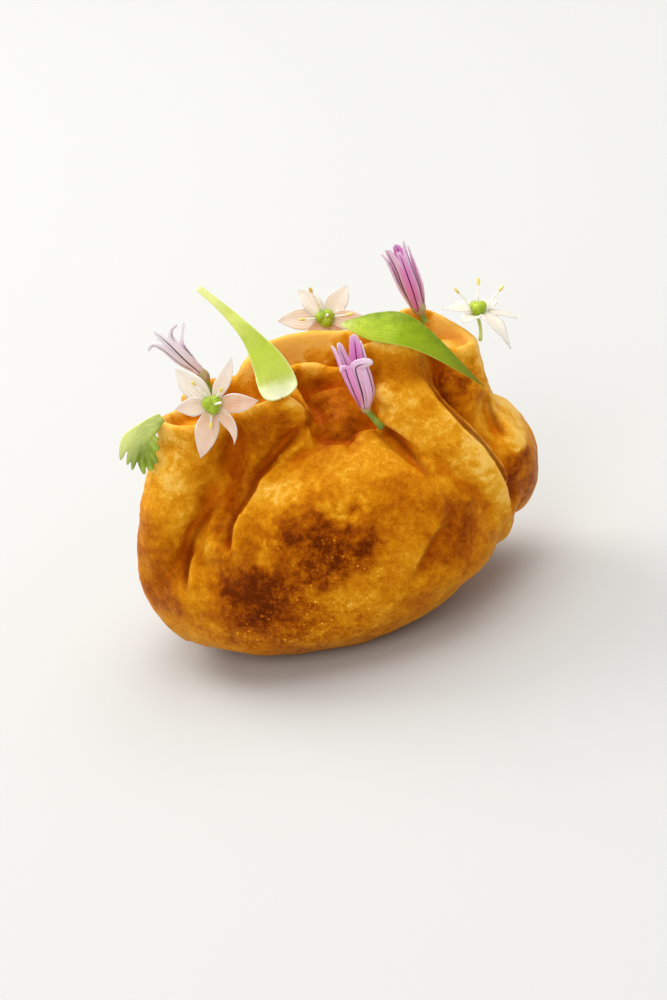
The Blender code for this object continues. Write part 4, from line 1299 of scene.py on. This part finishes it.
def herb_material():
    """Fresh green, with a painted pale sheen over the upper left of the leaf."""
    made = Finish("herb_leaf")
    blotch = made.noise(0.30, 4.0, 0.55)
    # Painted sheen over the upper left, broken up by the blotches
    painted_sheen = made.plus(made.attribute("painted_sheen"), made.times(made.minus(blotch, 0.5), 0.8), clamp=True)
    colour = made.mix(painted_sheen, made.ramp(blotch, *HERB_STOPS), (0.90, 0.96, 0.36))
    colour = made.mix(made.times(made.attribute("vein"), 0.22), colour, (0.76, 0.88, 0.40))
    made.set(Roughness=0.42)
    made.bump(made.noise(1.5, 3.0), 0.3, 0.2)
    return made.thin(colour, HERB_GLOW)


def mottled_material(name, dark, light, scale, roughness, glow=0.0):
    made = Finish(name)
    colour = made.ramp(made.noise(scale, 4.0, 0.6), (0.32, dark), (0.68, light))
    made.set(Base_Color=colour, Roughness=roughness)
    if glow:
        made.set(Subsurface_Weight=glow, Subsurface_Radius=(0.6, 1.0, 0.25), Subsurface_Scale=0.0008)
    made.bump(made.noise(scale * 3, 3.0), 0.3, 0.1)
    return made.material


# ---------------------------------------------------------------- stage


def floor():
    bm = bmesh.new()
    bmesh.ops.create_grid(bm, x_segments=1, y_segments=1, size=FLOOR_SIZE)
    mesh = mesh_from("floor", bm)
    finish = Finish("pale_floor")
    finish.set(Base_Color=FLOOR_COLOUR, Roughness=0.8)
    mesh.materials.append(finish.material)
    made = placed("floor", mesh)


def area_light(name, place, aim, size, power):
    data = bpy.data.lights.new(name, "AREA")
    data.shape = "DISK"
    data.size = size
    data.energy = power
    data.color = LAMP_COLOUR
    made = placed(name, data)
    made.location = place
    made.rotation_euler = (Vector(aim) - Vector(place)).to_track_quat("-Z", "Y").to_euler()


def lights():
    world = bpy.data.worlds.new("studio")
    world.use_nodes = True
    background = world.node_tree.nodes["Background"]
    background.inputs[0].default_value = (1.0, 0.99, 0.97, 1.0)
    background.inputs[1].default_value = 0.60
    bpy.context.scene.world = world
    area_light("top_light", (0.10, 0.12, 0.80), (0, 0, 0.02), 0.95, 5.3)
    area_light("back_light", (-0.40, 0.45, 0.50), (0, 0, 0.03), 0.42, 3.2)
    area_light("front_fill", (-0.25, -0.60, 0.55), (0, 0, 0.02), 0.45, 1.8)
    bpy.context.scene.view_settings.view_transform = "Standard"


def camera():
    data = bpy.data.cameras.new("camera")
    data.lens = LENS
    data.sensor_width = SENSOR_WIDTH
    data.clip_start = 0.01
    made = placed("camera", data)
    ahead = vec(0, math.cos(LOOK_DOWN), -math.sin(LOOK_DOWN))
    level = vec(1, 0, 0)
    upright = level.cross(ahead)
    right = level * math.cos(ROLL) - upright * math.sin(ROLL)
    up = level * math.sin(ROLL) + upright * math.cos(ROLL)
    turn = Matrix((right, up, -ahead)).transposed()
    made.matrix_world = Matrix.Translation(Vector(CAMERA_PLACE) * MM) @ turn.to_4x4()
    bpy.context.scene.camera = made


def garnish():
    flower_parts = {
        "white": white_petal_material(),
        "ovary": mottled_material("flower_ovary", (0.20, 0.34, 0.002), (0.48, 0.58, 0.015), 0.8, 0.45, 0.2),
        "thread": mottled_material("flower_thread", (0.86, 0.84, 0.72), (0.95, 0.94, 0.88), 1.5, 0.45, 0.3),
        "anther": mottled_material("flower_anther", (0.80, 0.58, 0.08), (0.92, 0.78, 0.26), 3.0, 0.7),
    }
    green_stalk = mottled_material("green_stalk", (0.12, 0.18, 0.008), (0.34, 0.42, 0.04), 0.8, 0.4, 0.2)
    pale_stalk = mottled_material("pale_stalk", (0.46, 0.58, 0.10), (0.66, 0.74, 0.24), 0.8, 0.4, 0.2)
    dry_foot = mottled_material("dry_foot", (0.30, 0.24, 0.09), (0.52, 0.42, 0.20), 1.0, 0.6)
    lilac = lilac_material()
    for star, tips, style, stalk in zip(STARS, STAR_STAMENS, STAR_STYLES, STAR_STALKS):
        name, middle, facing, *petals = star
        star_flower(name, middle, facing, petals, flower_parts)
        stamens(name, middle, facing, tips, style, flower_parts)
        stalk_piece(name, stalk, pale_stalk)
    for name, foot, foot_radii, stalk, petals in FLORETS:
        floret(name, foot, foot_radii, petals, lilac, dry_foot)
        stalk_piece(name, stalk, green_stalk)
    cress = leaf_material("cress_leaf", **CRESS_LOOK)
    leaf("cress_leaf", CRESS_LEAF, CRESS_FACING, cress_bend, cress)
    green = leaf_material("long_leaf", **LONG_LOOK)
    leaf("long_leaf", LONG_LEAF, LONG_FACING, long_bend, green)
    herb_leaf(herb_material())


def main():
    camera()
    lights()
    floor()
    pastry(crust_material())
    garnish()


main()
